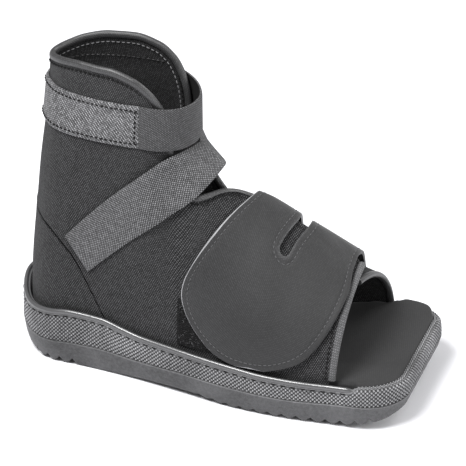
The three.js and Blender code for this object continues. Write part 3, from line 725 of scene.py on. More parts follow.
def weave_group(name):
    """Woven threads: a height for bump and a light fleck where threads come to the top."""
    inputs = {"Place": None, "Pitch": 1.2, "Stretch": 1.0, "Turn": 0.8, "Chance": 0.7}
    tree, given, end = new_group(name, inputs, ("Height", "Fleck"))
    around = {"Vector": given["Place"], "Angle": given["Turn"]}
    turned = add_node(tree, "ShaderNodeVectorRotate", around, rotation_type="Z_AXIS")
    split = add_node(tree, "ShaderNodeSeparateXYZ", {0: turned.outputs[0]})
    wide = maths(tree, "MULTIPLY", given["Pitch"], given["Stretch"])
    row = maths(tree, "DIVIDE", split.outputs["X"], given["Pitch"])
    line = maths(tree, "FLOOR", row)
    step = maths(tree, "MULTIPLY_ADD", line, ROW_SHIFT, maths(tree, "DIVIDE", split.outputs["Y"], wide))
    cell = add_node(tree, "ShaderNodeCombineXYZ", {"X": line, "Y": maths(tree, "FLOOR", step)})
    chance = add_node(tree, "ShaderNodeTexWhiteNoise", {"Vector": cell.outputs[0]}, noise_dimensions="2D")
    swing = maths(tree, "SUBTRACT", chance.outputs["Value"], 0.5)
    size = maths(tree, "MULTIPLY_ADD", swing, given["Chance"], 1.0)
    domes = []
    for place in (row, step):
        share = maths(tree, "FRACT", place)
        domes.append(maths(tree, "SINE", maths(tree, "MULTIPLY", share, math.pi)))
    height = maths(tree, "MULTIPLY", maths(tree, "MULTIPLY", *domes), size)
    feed(tree, end, {"Height": height, "Fleck": maths(tree, "MULTIPLY", height, FLECK_SCALE)})
    return tree


def handling_group(name):
    """Soft tonal change from use, from a place in metres."""
    tree, given, end = new_group(name, {"Place": None, "Amount": 0.15}, ("Tone",))
    levels = []
    for scale, detail, share in HANDLING_LEVELS:
        inputs = {"Vector": given["Place"], "Scale": scale, "Detail": detail}
        noise = add_node(tree, "ShaderNodeTexNoise", inputs)
        levels.append(maths(tree, "MULTIPLY", noise.outputs["Fac"], share))
    total = maths(tree, "ADD", maths(tree, "ADD", levels[0], levels[1]), levels[2])
    swing = maths(tree, "MULTIPLY", maths(tree, "SUBTRACT", total, 1.0), given["Amount"])
    feed(tree, end, {"Tone": maths(tree, "ADD", swing, 1.0)})
    return tree


def use_group(tree, name, build, inputs):
    """A shared node group, built once and placed in a tree with its own values."""
    group = bpy.data.node_groups.get(name) or build(name)
    return add_node(tree, "ShaderNodeGroup", inputs, node_tree=group)


def finish_material(name, colour):
    """The finish of that name in a colour."""
    finish = {**PLAIN_FINISH, **FINISHES[name]}
    material = bpy.data.materials.new(name)
    material.use_nodes = True
    tree = material.node_tree
    surface = {
        "Roughness": finish["rough"],
        "Specular IOR Level": finish["shine"],
        "Sheen Weight": finish["sheen"],
        "Sheen Roughness": SHEEN_ROUGH,
    }
    place = add_node(tree, "ShaderNodeTexCoord", {}).outputs["Object"]
    marks = {"Place": place, "Amount": finish["marks"]}
    strength = use_group(tree, "Handling marks", handling_group, marks).outputs["Tone"]
    if finish["weave"]:
        pitch, turn, stretch = finish["weave"]
        cloth = add_node(tree, "ShaderNodeAttribute", {}, attribute_name="cloth_mm").outputs["Vector"]
        weave = {"Place": cloth, "Pitch": pitch, "Turn": math.radians(turn), "Stretch": stretch}
        weave["Chance"] = finish["uneven"]
        threads = use_group(tree, "Woven threads", weave_group, weave).outputs
        lit = maths(tree, "MULTIPLY_ADD", threads["Fleck"], finish["fleck"], 1.0 - finish["fleck"])
        strength = maths(tree, "MULTIPLY", strength, maths(tree, "MAXIMUM", lit, 0.0))
        relief = {"Strength": finish["bump"], "Distance": THREAD_HEIGHT * MM, "Height": threads["Height"]}
        surface["Normal"] = add_node(tree, "ShaderNodeBump", relief).outputs["Normal"]
    # Painted shade: darkens the colour by the points' painted shade, and lightens it as a painted highlight
    # where that is negative
    if finish["dark"]:
        hollow = add_node(tree, "ShaderNodeAttribute", {}, attribute_name="hollow").outputs["Fac"]
        left = maths(tree, "MULTIPLY_ADD", hollow, -finish["dark"], 1.0)
        strength = maths(tree, "MULTIPLY", strength, left)
    tint = add_node(tree, "ShaderNodeVectorMath", {}, operation="SCALE")
    surface["Base Color"] = feed(tree, tint, {0: colour[:3], "Scale": strength}).outputs[0]
    feed(tree, tree.nodes["Principled BSDF"], surface)
    return material


# Settings

COOL_TINT = 1.03


def length_setting(name, description, default, low, high):
    return FloatProperty(
        name=name, description=description, default=default, min=low, max=high, unit="LENGTH", precision=5
    )


def angle_setting(name, description, degrees):
    return FloatProperty(name=name, description=description, default=math.radians(degrees), subtype="ANGLE")


def power_setting(name, description, watts):
    return FloatProperty(name=name, description=description, default=watts, min=0, unit="POWER")


def colour_setting(name, description, grey):
    default = (grey, grey, grey * COOL_TINT)
    return FloatVectorProperty(
        name=name, description=description, default=default, min=0, max=1, size=3, subtype="COLOR"
    )


class BootSoleSettings(bpy.types.PropertyGroup):
    knurl_pitch: length_setting("Knurl pitch", "Spacing of the pads on the sole's side", 0.003, 0.0015, 0.006)
    knurl_depth: length_setting("Knurl depth", "Depth of the grooves between the pads", 0.0009, 0.0, 0.0015)
    sole_colour: colour_setting("Sole", "Colour of the moulded sole", 0.23)
    welt_colour: colour_setting("Welt", "Colour of the bead round the rim", 0.075)
    insole_colour: colour_setting("Insole", "Colour of the footbed's cloth", 0.019)


class BootClothSettings(bpy.types.PropertyGroup):
    stitch_length: length_setting("Stitch", "Length of one stitch", 0.0024, 0.001, 0.008)
    stitch_gap: length_setting("Stitch gap", "Gap between two stitches", 0.0012, 0.0002, 0.005)
    thread_radius: length_setting("Thread radius", "Half the thickness of the thread", 0.00034, 0.0001, 0.001)
    upper_colour: colour_setting("Upper", "Colour of the padded upper", 0.034)
    lining_colour: colour_setting("Lining", "Colour of the inside of the upper", 0.026)
    tape_colour: colour_setting("Tape", "Colour of the binding tape", 0.035)
    toe_tape_colour: colour_setting("Toe tape", "Colour of the tape on the vamp's near front edge", 0.09)
    flap_colour: colour_setting("Flap", "Colour of the flap's face", 0.024)
    flap_edge_and_highlight_colour: colour_setting("Flap edge", "Colour of the flap's cut edge", 0.3)
    # The flap's cut edge, whose colour also serves as the painted highlight along the flap's lit border
    webbing_colour: colour_setting("Webbing", "Colour of the instep strap", 0.088)
    loop_colour: colour_setting("Ankle strap", "Colour of the free ankle strap", 0.055)
    band_colour: colour_setting("Band", "Colour of the coarse ankle band", 0.126)
    patch_colour: colour_setting("Patch", "Colour of the fastening patch", 0.005)
    flap_thread_colour: colour_setting("Flap thread", "Colour of the flap's thread", 0.09)
    thread_colour: colour_setting("Thread", "Colour of the light thread", 0.17)
    dark_thread_colour: colour_setting("Dark thread", "Colour of the dark thread", 0.003)


class BootStageSettings(bpy.types.PropertyGroup):
    azimuth: angle_setting("Azimuth", "Turn of the camera round the boot", 19)
    elevation: angle_setting("Elevation", "Height angle of the camera", 30)
    distance: length_setting("Distance", "Camera to the middle of the boot", 2.4, 0.5, 10)
    focal: FloatProperty(
        name="Focal length",
        description="Focal length of the lens",
        default=263.3,
        min=20,
        max=600,
        unit="CAMERA",
    )
    key_power: power_setting("Key light", "Power of the large light overhead", 46.0)
    fill_power: power_setting("Fill light", "Power of the soft light at the toe", 14.0)
    back_power: power_setting("Back light", "Power of the soft light behind the boot", 18.0)
    sky: FloatProperty(name="Sky", description="Strength of the even light all round", default=0.28, min=0)
    floor_colour: colour_setting("Floor", "Colour of the floor", 0.92)


# Sole

# Between these values of the knurl's wave a pad's side rises
PAD_SIDE = (0.4, 0.82)
# The pads' tops are painted lighter and the grooves between them painted dark: painted highlight and painted
# shade
PAD_LIGHT = 1.4
POINTS_PER_PAD = 5

# Inset of the wall by share of its height, under the welt and at the bare toe
WALL_INSET_WELT = smooth_column(((0, 3.2), (0.08, 2.1), (0.24, 0.9), (0.55, 0), (0.86, 0.2), (1, 0.5)), 1)
WALL_INSET_TOE = smooth_column(((0, 3.2), (0.08, 2.2), (0.24, 1.2), (0.55, 0), (0.86, 0.5), (1, 1.2)), 1)

# Where the knurl starts: share of the way from the underside to a line below the rim, which rises to the toe
KNURL_START = smooth_column(
    ((-150, 0.45), (-100, 0.47), (-44, 0.51), (50, 0.6), (100, 0.61), (125, 0.55), (150, 0.42)), 1
)
KNURL_BELOW_RIM = (5.1, 1.7)
KNURL_RISE_X = (60, 130)

# Height of the groove above the knurl, under the welt and at the bare toe
GROOVE_HEIGHT = (1.6, 1.7)
TOE_ROUND = 0.3

# The rim falls away at the far side of the toe
FAR_TOE_DROP = 2.2
FAR_TOE_X = (98, 110)
FAR_TOE_Y = (36, 56)

# Stretches of X where the rim loses its bead
BARE_NEAR_X = (112, 121)
BARE_FAR_X = (99, 107)

# Rows of the wall: inset, rise and painted shade, at the tread's edge and at the ledge under the knurl
TREAD_ROWS = ((7.5, 0, 1), (5, 0.1, 1), (3.9, 0.5, 0.9))
LEDGE_ROWS = ((-0.25, -0.3, 0.5), (-0.25, 0, 0.45), (0.35, 0.25, 0.8))

# Rows of the groove: share of its height, inset under the welt and inset at the bare toe
GROOVE_ROWS = (
    (0.1, 0.1, 0.1), (0.2, 0.8, 0.2), (0.6, 0.8, 0.5), (0.7, 0.1, 0.7), (0.88, 0.1, 1.0), (1, 0.8, 1.4),
)
# Painted shade in the groove under the welt
GROOVE_SHADE = 0.3

# The plain strip below the knurl: its distance from tread and ledge, how proud it stands, and its painted
# shade
PLAIN_CLEAR = (1.4, 0.6)
PLAIN_PROUD = 0.15
PLAIN_SHADE = 0.76

# The pads fade in above the ledge, and at the bare toe they run on over the rim
KNURL_CLEAR = 0.5
KNURL_FADE = (0.3, 1.1)
RIM_PAD_START = 0.6
RIM_PAD_RUN = 4
RIM_PAD_SHARE = 0.7
CUP_LIP = 0.9

PLAIN_ROWS = 6
KNURL_ROWS = 42
RIM_ROWS = 10


def knurl_pad(u, v):
    """Raised round pads in staggered rows, in units of their pitch: 1 on a pad and 0 between pads."""
    return smoothstep(*PAD_SIDE, 0.5 + 0.5 * np.cos(2 * math.pi * u) * np.cos(2 * math.pi * v))


def scalloped_underside(x):
    """The tread's edge: rounded lumps with a narrow gap between each two."""
    level = under(x)
    for first, pitch, count, depth, ramp in TREAD_LUMPS:
        last = first + pitch * (count - 1)
        inside = smoothstep(first - pitch, first, x) * smoothstep(last + pitch, last, x)
        inside = inside * mix(0.5, 1, smoothstep(first, first + ramp, x))
        place = (x - first) / pitch
        offset = place - np.floor(place) - 0.5
        level = level + depth * np.abs(2 * offset) ** LUMP_POWER * inside
    return level


def bare_rim(x, y):
    """1 where the rim carries no bead, round the toe."""
    return np.where(y > 0, smoothstep(*BARE_FAR_X, x), smoothstep(*BARE_NEAR_X, x))


def outsole_rows(w, settings):
    """Rows of the sole's wall, from the underside up into the cup: inset, height and painted shade."""
    x, y = round_the_sole(w)[:2]
    pitch = settings.knurl_pitch / MM
    depth = settings.knurl_depth / MM
    none = 0 * x
    bare = bare_rim(x, y)
    bottom = under(x)
    tread = scalloped_underside(x)
    brow = rim(x)
    top = brow - WELT_HEIGHT * (1 - bare)
    top = top - FAR_TOE_DROP * smoothstep(*FAR_TOE_Y, y) * smoothstep(*FAR_TOE_X, x)
    high = top - mix(*GROOVE_HEIGHT, bare)
    low = mix(bottom, brow - mix(*KNURL_BELOW_RIM, smoothstep(*KNURL_RISE_X, x)), KNURL_START(x))

    def wall(z):
        share = (z - bottom) / (top - bottom)
        return mix(WALL_INSET_WELT(share), WALL_INSET_TOE(share), bare)

    def pads(below_brow):
        return knurl_pad(w / pitch, below_brow / pitch)

    # The third value of each row is painted shade: on the tread's edge, the plain strip, the ledge, the
    # knurl's grooves, the groove under the welt and the cup at the bare toe; it turns negative on the pads'
    # tops as a painted highlight
    rows = [(inset + none, tread + rise, shade + none) for inset, rise, shade in TREAD_ROWS]
    for share in np.linspace(0, 1, PLAIN_ROWS):
        z = mix(tread + PLAIN_CLEAR[0], low - PLAIN_CLEAR[1], share)
        rows.append((wall(z) - PLAIN_PROUD, z, PLAIN_SHADE + none))
    rows += [(wall(low) + inset, low + rise, shade + none) for inset, rise, shade in LEDGE_ROWS]
    for share in np.linspace(0, 1, KNURL_ROWS):
        z = mix(low + KNURL_CLEAR, high, share)
        mask = smoothstep(*KNURL_FADE, z - low) * mix(smoothstep(0, KNURL_CLEAR, high - z), 1, bare)
        pad = pads(brow - z) * mask
        rows.append((wall(z) + depth * (1 - pad), z, 1 - PAD_LIGHT * pad))
    for share, under_welt, at_toe in GROOVE_ROWS:
        z = mix(high, top, share) - TOE_ROUND * bare * share
        pad = pads(brow - z)
        shade = mix(GROOVE_SHADE, 1 - PAD_LIGHT * pad, bare)
        rows.append((wall(z) + mix(under_welt, at_toe + depth * (1 - pad), bare), z, shade))
    edge = rows[-1][0]
    for share in np.linspace(0, 1, RIM_ROWS)[1:]:
        pad = pads(-(RIM_PAD_START + RIM_PAD_RUN * share))
        z = top - bare * (TOE_ROUND * (1 - share) ** 2 + RIM_PAD_SHARE * depth * (1 - pad))
        rows.append((mix(edge, RIM_WIDTH - GAP, share), z, bare * (1 - PAD_LIGHT * pad)))
    rows.append((RIM_WIDTH + none, top - CUP_LIP, bare))
    rows.append((RIM_WIDTH + none, cup_floor(x), bare))
    return rows


class BOOT_OT_make_outsole(bpy.types.Operator):
    """Make the moulded sole with its knurled side, tread notches and cup"""

    bl_idname = "boot.make_outsole"
    bl_label = "Outsole"

    def execute(self, context):
        settings = context.scene.boot_sole
        near, far = [OUTLINES[side].length for side in SIDES]
        count = POINTS_PER_PAD * round((near + far) / (settings.knurl_pitch / MM))
        w = -near + np.arange(count) * (near + far) / count
        outline = round_the_sole(w)
        rows = outsole_rows(w, settings)
        rings = [inside_rim(outline, inset, z) for inset, z, _ in rows]
        faces = grid_faces(len(rings), count, ring=True)
        heel = int(np.argmin(np.abs(w)))
        along = outline[0] - 0.001 * np.abs(outline[1])
        cap = zipper(list(range(heel, -1, -1)), list(range(heel, count)) + [0], along)
        last = (len(rings) - 1) * count
        faces += cap + [[i + last for i in face] for face in cap]
        mould = Mould()
        mould.add(np.stack(rings), faces, hollow=np.stack([shade for _, _, shade in rows]))
        rubber = finish_material("sole_rubber", settings.sole_colour)
        settle(mould.build("moulded_outsole", [rubber], sharp=32), "sole", "outsole")
        return {"FINISHED"}


# Section of the welt: shares of its width inward and of its height
WELT_SECTION = (
    (0.04, 0), (0.02, 0.4), (0.08, 0.66), (0.18, 0.86), (0.31, 0.97), (0.4, 1), (0.5, 0.95), (0.59, 0.82),
    (0.65, 0.6), (0.69, 0.42), (0.75, 0.36), (0.83, 0.42), (0.9, 0.44), (0.96, 0.38), (1, 0.28), (1, 0),
)
WELT_TAPER = 7.0

# Stitches in the groove: inset, drop below the welt and distance from its ends
WELT_STITCH_IN = 0.8
WELT_STITCH_DROP = 0.95
WELT_STITCH_END = 4.0


class BOOT_OT_make_welt(bpy.types.Operator):
    """Make the smooth bead round the rim, and the stitches in the groove under it"""

    bl_idname = "boot.make_welt"
    bl_label = "Welt"

    def execute(self, context):
        settings = context.scene.boot_sole
        cloth = context.scene.boot_cloth
        near, far = [OUTLINES[side].run_to(end - 2 * GAP) for side, end in zip(SIDES, WELT_ENDS_X)]
        w = np.linspace(-near, far, 620)
        outline = round_the_sole(w)
        seat = rim(outline[0]) - WELT_HEIGHT
        left = np.minimum(w + near, far - w)
        taper = np.sqrt(np.clip(1 - (1 - np.clip(left / WELT_TAPER, 0, 1)) ** 2, 0.02, 1))
        rings = []
        for inward, up in WELT_SECTION:
            inset = (RIM_WIDTH - WELT_WIDTH) / 2 + WELT_WIDTH * mix(0.5, inward, taper)
            rings.append(inside_rim(outline, inset, seat + GAP + (WELT_HEIGHT - GAP) * up * taper))
        rings = np.stack(rings, 1)
        mould = Mould()
        mould.add(rings, bar_faces(*rings.shape[:2]))
        rubber = finish_material("welt_rubber", settings.welt_colour)
        settle(mould.build("welt_bead", [rubber], sharp=60), "welt", "welt")
        groove = round_the_sole(np.linspace(WELT_STITCH_END - near, far - WELT_STITCH_END, 900))
        path = inside_rim(groove, WELT_STITCH_IN, rim(groove[0]) - WELT_HEIGHT - WELT_STITCH_DROP)
        out = np.stack([groove[2], groove[3], 0 * groove[2]], -1)
        thread = Mould()
        add_stitches(thread, path, out, cloth, heavy=1.3, long=1.6, apart=2.7)
        dark = finish_material("welt_thread", cloth.dark_thread_colour)
        settle(thread.build("welt_stitches", [dark]), "sole")
        return {"FINISHED"}


# Footbed: round and fall of its edge, where it widens past the wall, and the dish of its middle
FOOTBED_ROUND = 3.2
FOOTBED_FALL = 2.6
FOOTBED_WIDENS_X = (113, 119)
DISH_DEPTH = 0.5
DISH_EDGE = (4, 30)
DISH_END_X = (150, 120)

# At the far toe the footbed banks up and spreads over the rim
BANK_X = (60, 98, 112, 136, 150)
BANK_RISE = (0, 6, 5.4, 2.6, 0.6)
BANK_Y = (-25, 63)
FAR_SPREAD = 4.6
SPREAD_START_X = (107, 113)
SPREAD_END_X = (149, 134)
SPREAD_LAP = 1.6
SPREAD_THICKNESS = 0.8


class BOOT_OT_make_insole(bpy.types.Operator):
    """Make the foam footbed with its softly rounded edge"""

    bl_idname = "boot.make_insole"
    bl_label = "Insole"

    def execute(self, context):
        settings = context.scene.boot_sole
        x = BACK_X + LAY + (SOLE_LENGTH - LAY) * eased(170)
        inset = mix(RIM_WIDTH + WALL + 4 * GAP, RIM_WIDTH + GAP, smoothstep(*FOOTBED_WIDENS_X, x))
        over_rim = smoothstep(*SPREAD_START_X, x) * smoothstep(*SPREAD_END_X, x)
        edges = []
        for side, spread in zip(SIDES, (0 * x, FAR_SPREAD * over_rim)):
            line = OUTLINES[side]
            edges.append(inside_rim(line.at(line.run_to(x)), inset - spread, 0 * x)[:, :2])
        plan = mix(edges[0][:, None], edges[1][:, None], eased(60)[None, :, None])
        from_edge = [np.linalg.norm(plan - edge[:, None], axis=-1) for edge in edges]
        beside = np.minimum(*from_edge)
        ahead = plan[-1:, :, 0] - plan[..., 0]
        inside = np.clip(np.minimum(beside, ahead) / FOOTBED_ROUND, 0, 1)
        z = foot(x)[:, None] - FOOTBED_FALL * (1 - np.sqrt(1 - (1 - inside) ** 2))
        z = z - DISH_DEPTH * smoothstep(*DISH_EDGE, beside) * smoothstep(*DISH_END_X, x)[:, None]
        banked = np.clip((plan[..., 1] - BANK_Y[0]) / (BANK_Y[1] - BANK_Y[0]), 0, 1)
        z = z + np.interp(x, BANK_X, BANK_RISE)[:, None] * banked
        floor = np.broadcast_to(cup_floor(x)[:, None] + GAP, z.shape)
        on_rim = (from_edge[1] < FAR_SPREAD + 1) & (over_rim > 0.02)[:, None]
        floor = np.where(on_rim, np.minimum(rim(x)[:, None] - SPREAD_LAP, z - SPREAD_THICKNESS), floor)
        outer, inner = [np.concatenate([plan, level[..., None]], -1) for level in (z, floor)]
        mould = Mould()
        add_sheet(mould, outer, inner, plan)
        cloth = finish_material("footbed_cloth", settings.insole_colour)
        piece = settle(mould.build("footbed", [cloth], sharp=70), "insole", "insole")
        return {"FINISHED"}


# Upper

RIB_SHARES = np.linspace(0, 1, 181)

# Where each half of the vamp ends
VAMP_ENDS_X = (97.0, 107.0)

# Distances from the heel seam and from the top edge where rows of points lie close together
SEAM_ROWS = (0, 0.35, 0.7, 1.1, 1.6, 2.3, 3.2, 4.5)
EDGE_ROWS = (0, 0.8, 1.8, 2.8, 3.6, 4.4, 5.2, 6.0, 7.2)
BASE_ROWS = (0, 1.0)
WALL_STEP = 1.5
DENT_DEPTH = 0.28

# The heel seam draws the wall in, and the cloth beside it swells: height, distance and half width
SEAM_DEPTH = 1.5
SEAM_HALF = 1.9
SWELL = (0.25, 3.4, 1.8)

# The tape's stitches draw the wall in below its top edge
SEAM_DROP = 4.4
SEWN_HALF = 0.9
SEWN_DEPTH = 0.55
# Painted shade along the stitch groove below the tape
SEWN_SHADE = 0.45

# Above a seam of its own, so far below the top edge, the lining lies a little further out
LINING_STEP = 0.5
LINING_STEP_AT = (27.4, 26.4)


def rib_rows(side, x, start, end, low, high, count):
    """Shares of each rib with rows close together at both ends: low and high are lists of distances."""
    points = rib_points(side, x, RIB_SHARES)[0]
    steps = np.linalg.norm(np.diff(points, axis=1), axis=-1)
    run = np.concatenate([np.zeros((len(x), 1)), np.cumsum(steps, 1)], 1)
    rows = []
    runs = []
    for k in range(len(x)):
        a = np.interp(start[k], RIB_SHARES, run[k])
        b = np.interp(end[k], RIB_SHARES, run[k])
        squeeze = min(1.0, (b - a) / (1.5 * (low[-1] + high[-1])))
        middle = np.linspace(a + low[-1] * squeeze, b - high[-1] * squeeze, count)[1:-1]
        at = np.concatenate([a + np.array(low) * squeeze, middle, b - np.array(high[::-1]) * squeeze])
        rows.append(np.interp(at, run[k], RIB_SHARES))
        runs.append(at)
    return np.array(rows), np.array(runs)


def seam_share(side, x):
    """The share of each rib where it crosses the heel seam, or 0 in front of the seam."""
    points = rib_points(side, x, RIB_SHARES)[0]
    above = points[..., 2] - heel_seam(points[..., 0])
    return np.array([np.interp(0, gap, RIB_SHARES) if gap[0] < 0 else 0.0 for gap in above])


def soft_dents(x, z):
    """Shallow hollows and swells of a padded wall, in millimetres."""
    waves = np.sin(x / 17 + z / 29) * np.cos(z / 21 - x / 41) + 0.6 * np.sin(x / 9.5 - z / 13 + 1.7)
    return DENT_DEPTH * waves


def wall_stations(side, end, step):
    """Places along the outline about a step apart, from the back of the heel to an end along X."""
    line = OUTLINES[side]
    reach = line.run_to(end)
    return np.interp(np.linspace(0, reach, int(reach / step)), line.body_run, line.body_x)


def both_sides(make, ends, step):
    """Joins what make gives for the near side, front to heel, and for the far side, heel to front."""
    near, far = [make(side, wall_stations(side, end, step)) for side, end in zip(SIDES, ends)]
    return [np.concatenate([a[::-1], b[1:]]) for a, b in zip(near, far)]


def away_from_leg(points):
    """Rough way out from the middle of the leg."""
    away = points - np.array([-70.0, 0, 0])
    away[..., 2] = 0
    return unit(away)


def seam_groove(from_seam):
    """How deep the wall is drawn in beside the heel seam."""
    return SEAM_DEPTH * (1 - np.clip(from_seam / SEAM_HALF, 0, 1)) ** 2


# Painted shade in the groove beside the heel seam, darkest at the seam
def seam_shade(from_seam):
    return 1 - smoothstep(0.3, 1.5, from_seam)


def wall_faces(side, x, base, out, runs, lift, lining):
    """The wall's outer and inner faces, closed at the back of the heel, and their places on the cloth."""
    line = OUTLINES[side]
    faces = [base + out * depth[..., None] for depth in (lift, lining)]
    for face in faces:
        face[np.abs(x - BACK_X) < 1e-6, :, 1] = 0
    place = np.broadcast_to((line.run_to(x) * line.sign)[:, None], runs.shape)
    return *faces, np.stack([place, runs], -1)


def upper_side(side, x):
    """One side of the upper above the heel seam: both faces, places on the cloth and painted shade."""
    seam = seam_share(side, x)
    shares, runs = rib_rows(side, x, seam, np.ones(len(x)), SEAM_ROWS, EDGE_ROWS, 58)
    base, out = rib_points(side, x, shares)
    from_seam = runs - runs[:, :1]
    from_top = runs[:, -1:] - runs
    beside = (seam > 0.001)[:, None]
    lift = soft_dents(base[..., 0], base[..., 2]) * smoothstep(0, 14, from_top) * smoothstep(0, 10, from_seam)
    lift = lift - beside * seam_groove(from_seam)
    lift = lift + SWELL[0] * beside * ridge(from_seam, *SWELL[1:])
    sewn = ridge(from_top, SEAM_DROP, SEWN_HALF)
    lift = lift - SEWN_DEPTH * sewn
    lining = -WALL + LINING_STEP * smoothstep(*LINING_STEP_AT, from_top) * smoothstep(0, 4, from_top)
    # Painted shade beside the heel seam and in the stitch groove under the tape
    hollow = beside * seam_shade(from_seam) + SEWN_SHADE * sewn
    return *wall_faces(side, x, base, out, runs, lift, lining), hollow


def heel_side(side, x):
    """One side of the heel panel, below the heel seam: what upper_side gives for the upper."""
    shares, runs = rib_rows(side, x, np.zeros(len(x)), seam_share(side, x), BASE_ROWS, SEAM_ROWS, 40)
    base, out = rib_points(side, x, shares)
    from_seam = runs[:, -1:] - runs
    lift = 0.6 * soft_dents(base[..., 0], base[..., 2]) * smoothstep(0, 10, from_seam)
    lift = lift - seam_groove(from_seam)
    return *wall_faces(side, x, base, out, runs, lift, np.full(runs.shape, -WALL)), seam_shade(from_seam)


def heel_panel_end(side):
    """The foremost place where the heel panel still has a height."""
    x = wall_stations(side, -40.0, 0.5)
    return float(np.max(x[seam_share(side, x) > 0.012]))


class BOOT_OT_make_upper(bpy.types.Operator):
    """Make the padded upper and the heel panel, which meet at the heel seam"""

    bl_idname = "boot.make_upper"
    bl_label = "Upper and heel panel"

    def execute(self, context):
        settings = context.scene.boot_cloth
        knit = finish_material("upper_knit", settings.upper_colour)
        lining = finish_material("upper_lining", settings.lining_colour)
        panel_ends = [heel_panel_end(side) for side in SIDES]
        pieces = (
            ("padded_upper", upper_side, VAMP_ENDS_X, ("upper_near", "upper_far")),
            ("sewn_heel_panel", heel_side, panel_ends, ("heel_panel",)),
        )
        for name, make_side, ends, nodes in pieces:
            outer, inner, cloth, hollow = both_sides(make_side, ends, WALL_STEP)
            mould = Mould()
            add_sheet(mould, outer, inner, cloth, back=1, hollow=hollow)
            piece = settle(mould.build(name, [knit, lining], sharp=50), "fabric", *nodes)
        return {"FINISHED"}


# Binding tape, folded over an edge of the wall: distance out from the middle of the wall, and past the edge
TAPE_SECTION = (
    (1.5, -2.2), (1.85, -2.1), (2.1, -1.6), (2.25, -0.7), (2.2, 0.4), (1.85, 1.4), (1.2, 2.1), (0.4, 2.45),
    (-0.4, 2.45), (-1.2, 2.1), (-1.85, 1.4), (-2.2, 0.4), (-2.25, -0.7), (-2.1, -1.6), (-1.85, -2.1),
    (-1.5, -2.2), (-1.2, -0.5), (0, -0.2), (1.2, -0.5),
)
COLLAR_STITCH = (1.35, -SEAM_DROP)
THROAT_STITCH = (0.9, -SEAM_DROP)
TOE_STITCH = (1.65, -SEAM_DROP)
LINING_STITCH = (-1.6, -5.4)
TAPE_STITCH_WEIGHT = 1.8
COLLAR_TAPE_ENDS_X = (30.0, 4.0)
TOE_TAPES_X = (99.0, 109.0)
LINING_SEAM_ENDS_X = (-52.0, -52.0)
LINING_SEAM_Z = 216.5

# Lowest places of the collar's stitches outside and inside
COLLAR_STITCH_Z = 165.0
LINING_STITCH_Z = 186.0


def add_tape(mould, path, out, past):
    """A tape folded round an edge."""
    run = run_along(path)
    rings = np.stack([path + out * a + past * b for a, b in TAPE_SECTION], 1)
    round_run = np.cumsum([0] + [math.dist(a, b) for a, b in zip(TAPE_SECTION, TAPE_SECTION[1:])])
    cloth = np.stack(np.broadcast_arrays(run[:, None], round_run[None, :]), -1)
    mould.add(rings, bar_faces(*rings.shape[:2]), cloth)


def beside_edge(path, out, past, place):
    return path + out * place[0] + past * place[1]


def collar_edge(side, x):
    """The middle of the wall's top edge, and the way out there."""
    return [part[:, 0] for part in rib_points(side, x, np.ones(1), -WALL / 2)]


def lining_seam(side, x):
    return [point_at_height(side, x, LINING_SEAM_Z, -WALL - 0.1)]


class BOOT_OT_make_bindings(bpy.types.Operator):
    """Make the folded tape round the collar and on the two front edges of the vamp"""

    bl_idname = "boot.make_bindings"
    bl_label = "Binding tape"

    def execute(self, context):
        settings = context.scene.boot_cloth
        tape = finish_material("binding_tape", settings.tape_colour)
        toe_tape = finish_material("toe_binding_tape", settings.toe_tape_colour)
        pale = finish_material("tape_thread", settings.thread_colour)
        black = finish_material("tape_dark_thread", settings.dark_thread_colour)
        thread = Mould()
        path, out = both_sides(collar_edge, COLLAR_TAPE_ENDS_X, 1.2)
        path, out = carried_evenly(480, path, unit(out))
        ahead = unit(np.gradient(path, axis=0))
        out = unit(out - ahead * (out * ahead).sum(-1, keepdims=True))
        past = np.cross(ahead, out)
        mould = Mould()
        add_tape(mould, path, out, past)
        settle(mould.build("collar_tape", [tape], sharp=70), "binding", "collar_binding")
        high = path[:, 2] > COLLAR_STITCH_Z
        for shown, place in ((high, COLLAR_STITCH), (~high & (path[:, 1] < 0), THROAT_STITCH)):
            outside = beside_edge(path, out, past, place)
            add_stitches(thread, outside[shown], out[shown], settings, 1, TAPE_STITCH_WEIGHT)
        collar = path[:, 2] > LINING_STITCH_Z
        inside = beside_edge(path, out, past, LINING_STITCH)
        add_stitches(thread, inside[collar], -out[collar], settings)
        seam = both_sides(lining_seam, LINING_SEAM_ENDS_X, WALL_STEP)[0]
        add_stitches(thread, seam, -away_from_leg(seam), settings, 2)
        for side, x, sign, finish in zip(SIDES, TOE_TAPES_X, (1, -1), (toe_tape, tape)):
            path, out = [part[0] for part in rib_points(side, [x], np.linspace(0.02, 0.99, 150), -WALL / 2)]
            clear = path[:, 2] > max(float(rim(x)), float(foot(x))) + 0.8
            path, out = path[clear], out[clear]
            past = np.cross(unit(np.gradient(path, axis=0)), out) * sign
            mould = Mould()
            add_tape(mould, path, out, past)
            piece = mould.build(f"toe_tape_{side}", [finish], sharp=70)
            settle(piece, "binding", f"toe_binding_{side}")
            edge = beside_edge(path, out, past, TOE_STITCH)
            add_stitches(thread, edge, out, settings, 1, TAPE_STITCH_WEIGHT)
        settle(thread.build("binding_stitches", [pale, black, tape]), "binding")
        return {"FINISHED"}


# Flap

FLAP_STITCH_IN = 3.8
SLOT_STITCH_OUT = 4.2

# Depth of the grooves and sink of the stitches, along the border and round the slot
FLAP_GROOVES = (0.4, 0.35)
FLAP_SINKS = (0.3, 0.25)
FLAP_FALL = 0.7
SLOT_FALL = 0.35
SLOT_TRIM = 0.25
# Painted highlight: a negative painted shade that lightens the points along the slot's cut edge
SLOT_EDGE_HIGHLIGHT = -1.6

# Handles of the flap's fall to the far side: shares of its reach at its end and its top, and a drop there
FLAP_END_PULL = 0.4
FLAP_RIDGE_PULL = 0.36
FLAP_RIDGE_DROP = 3.0

# Rows and columns of the flap's grid, and the strip at each edge that has more, in cells of the coarse grid
FLAP_COUNTS = (150, 104)
FLAP_MARGIN = 0.12

# Shares of the full fall at a sheet's border, on the first rows of points and further in
BORDER_FALLS = np.array([1.0, 0.42, 0.1, 0.0])


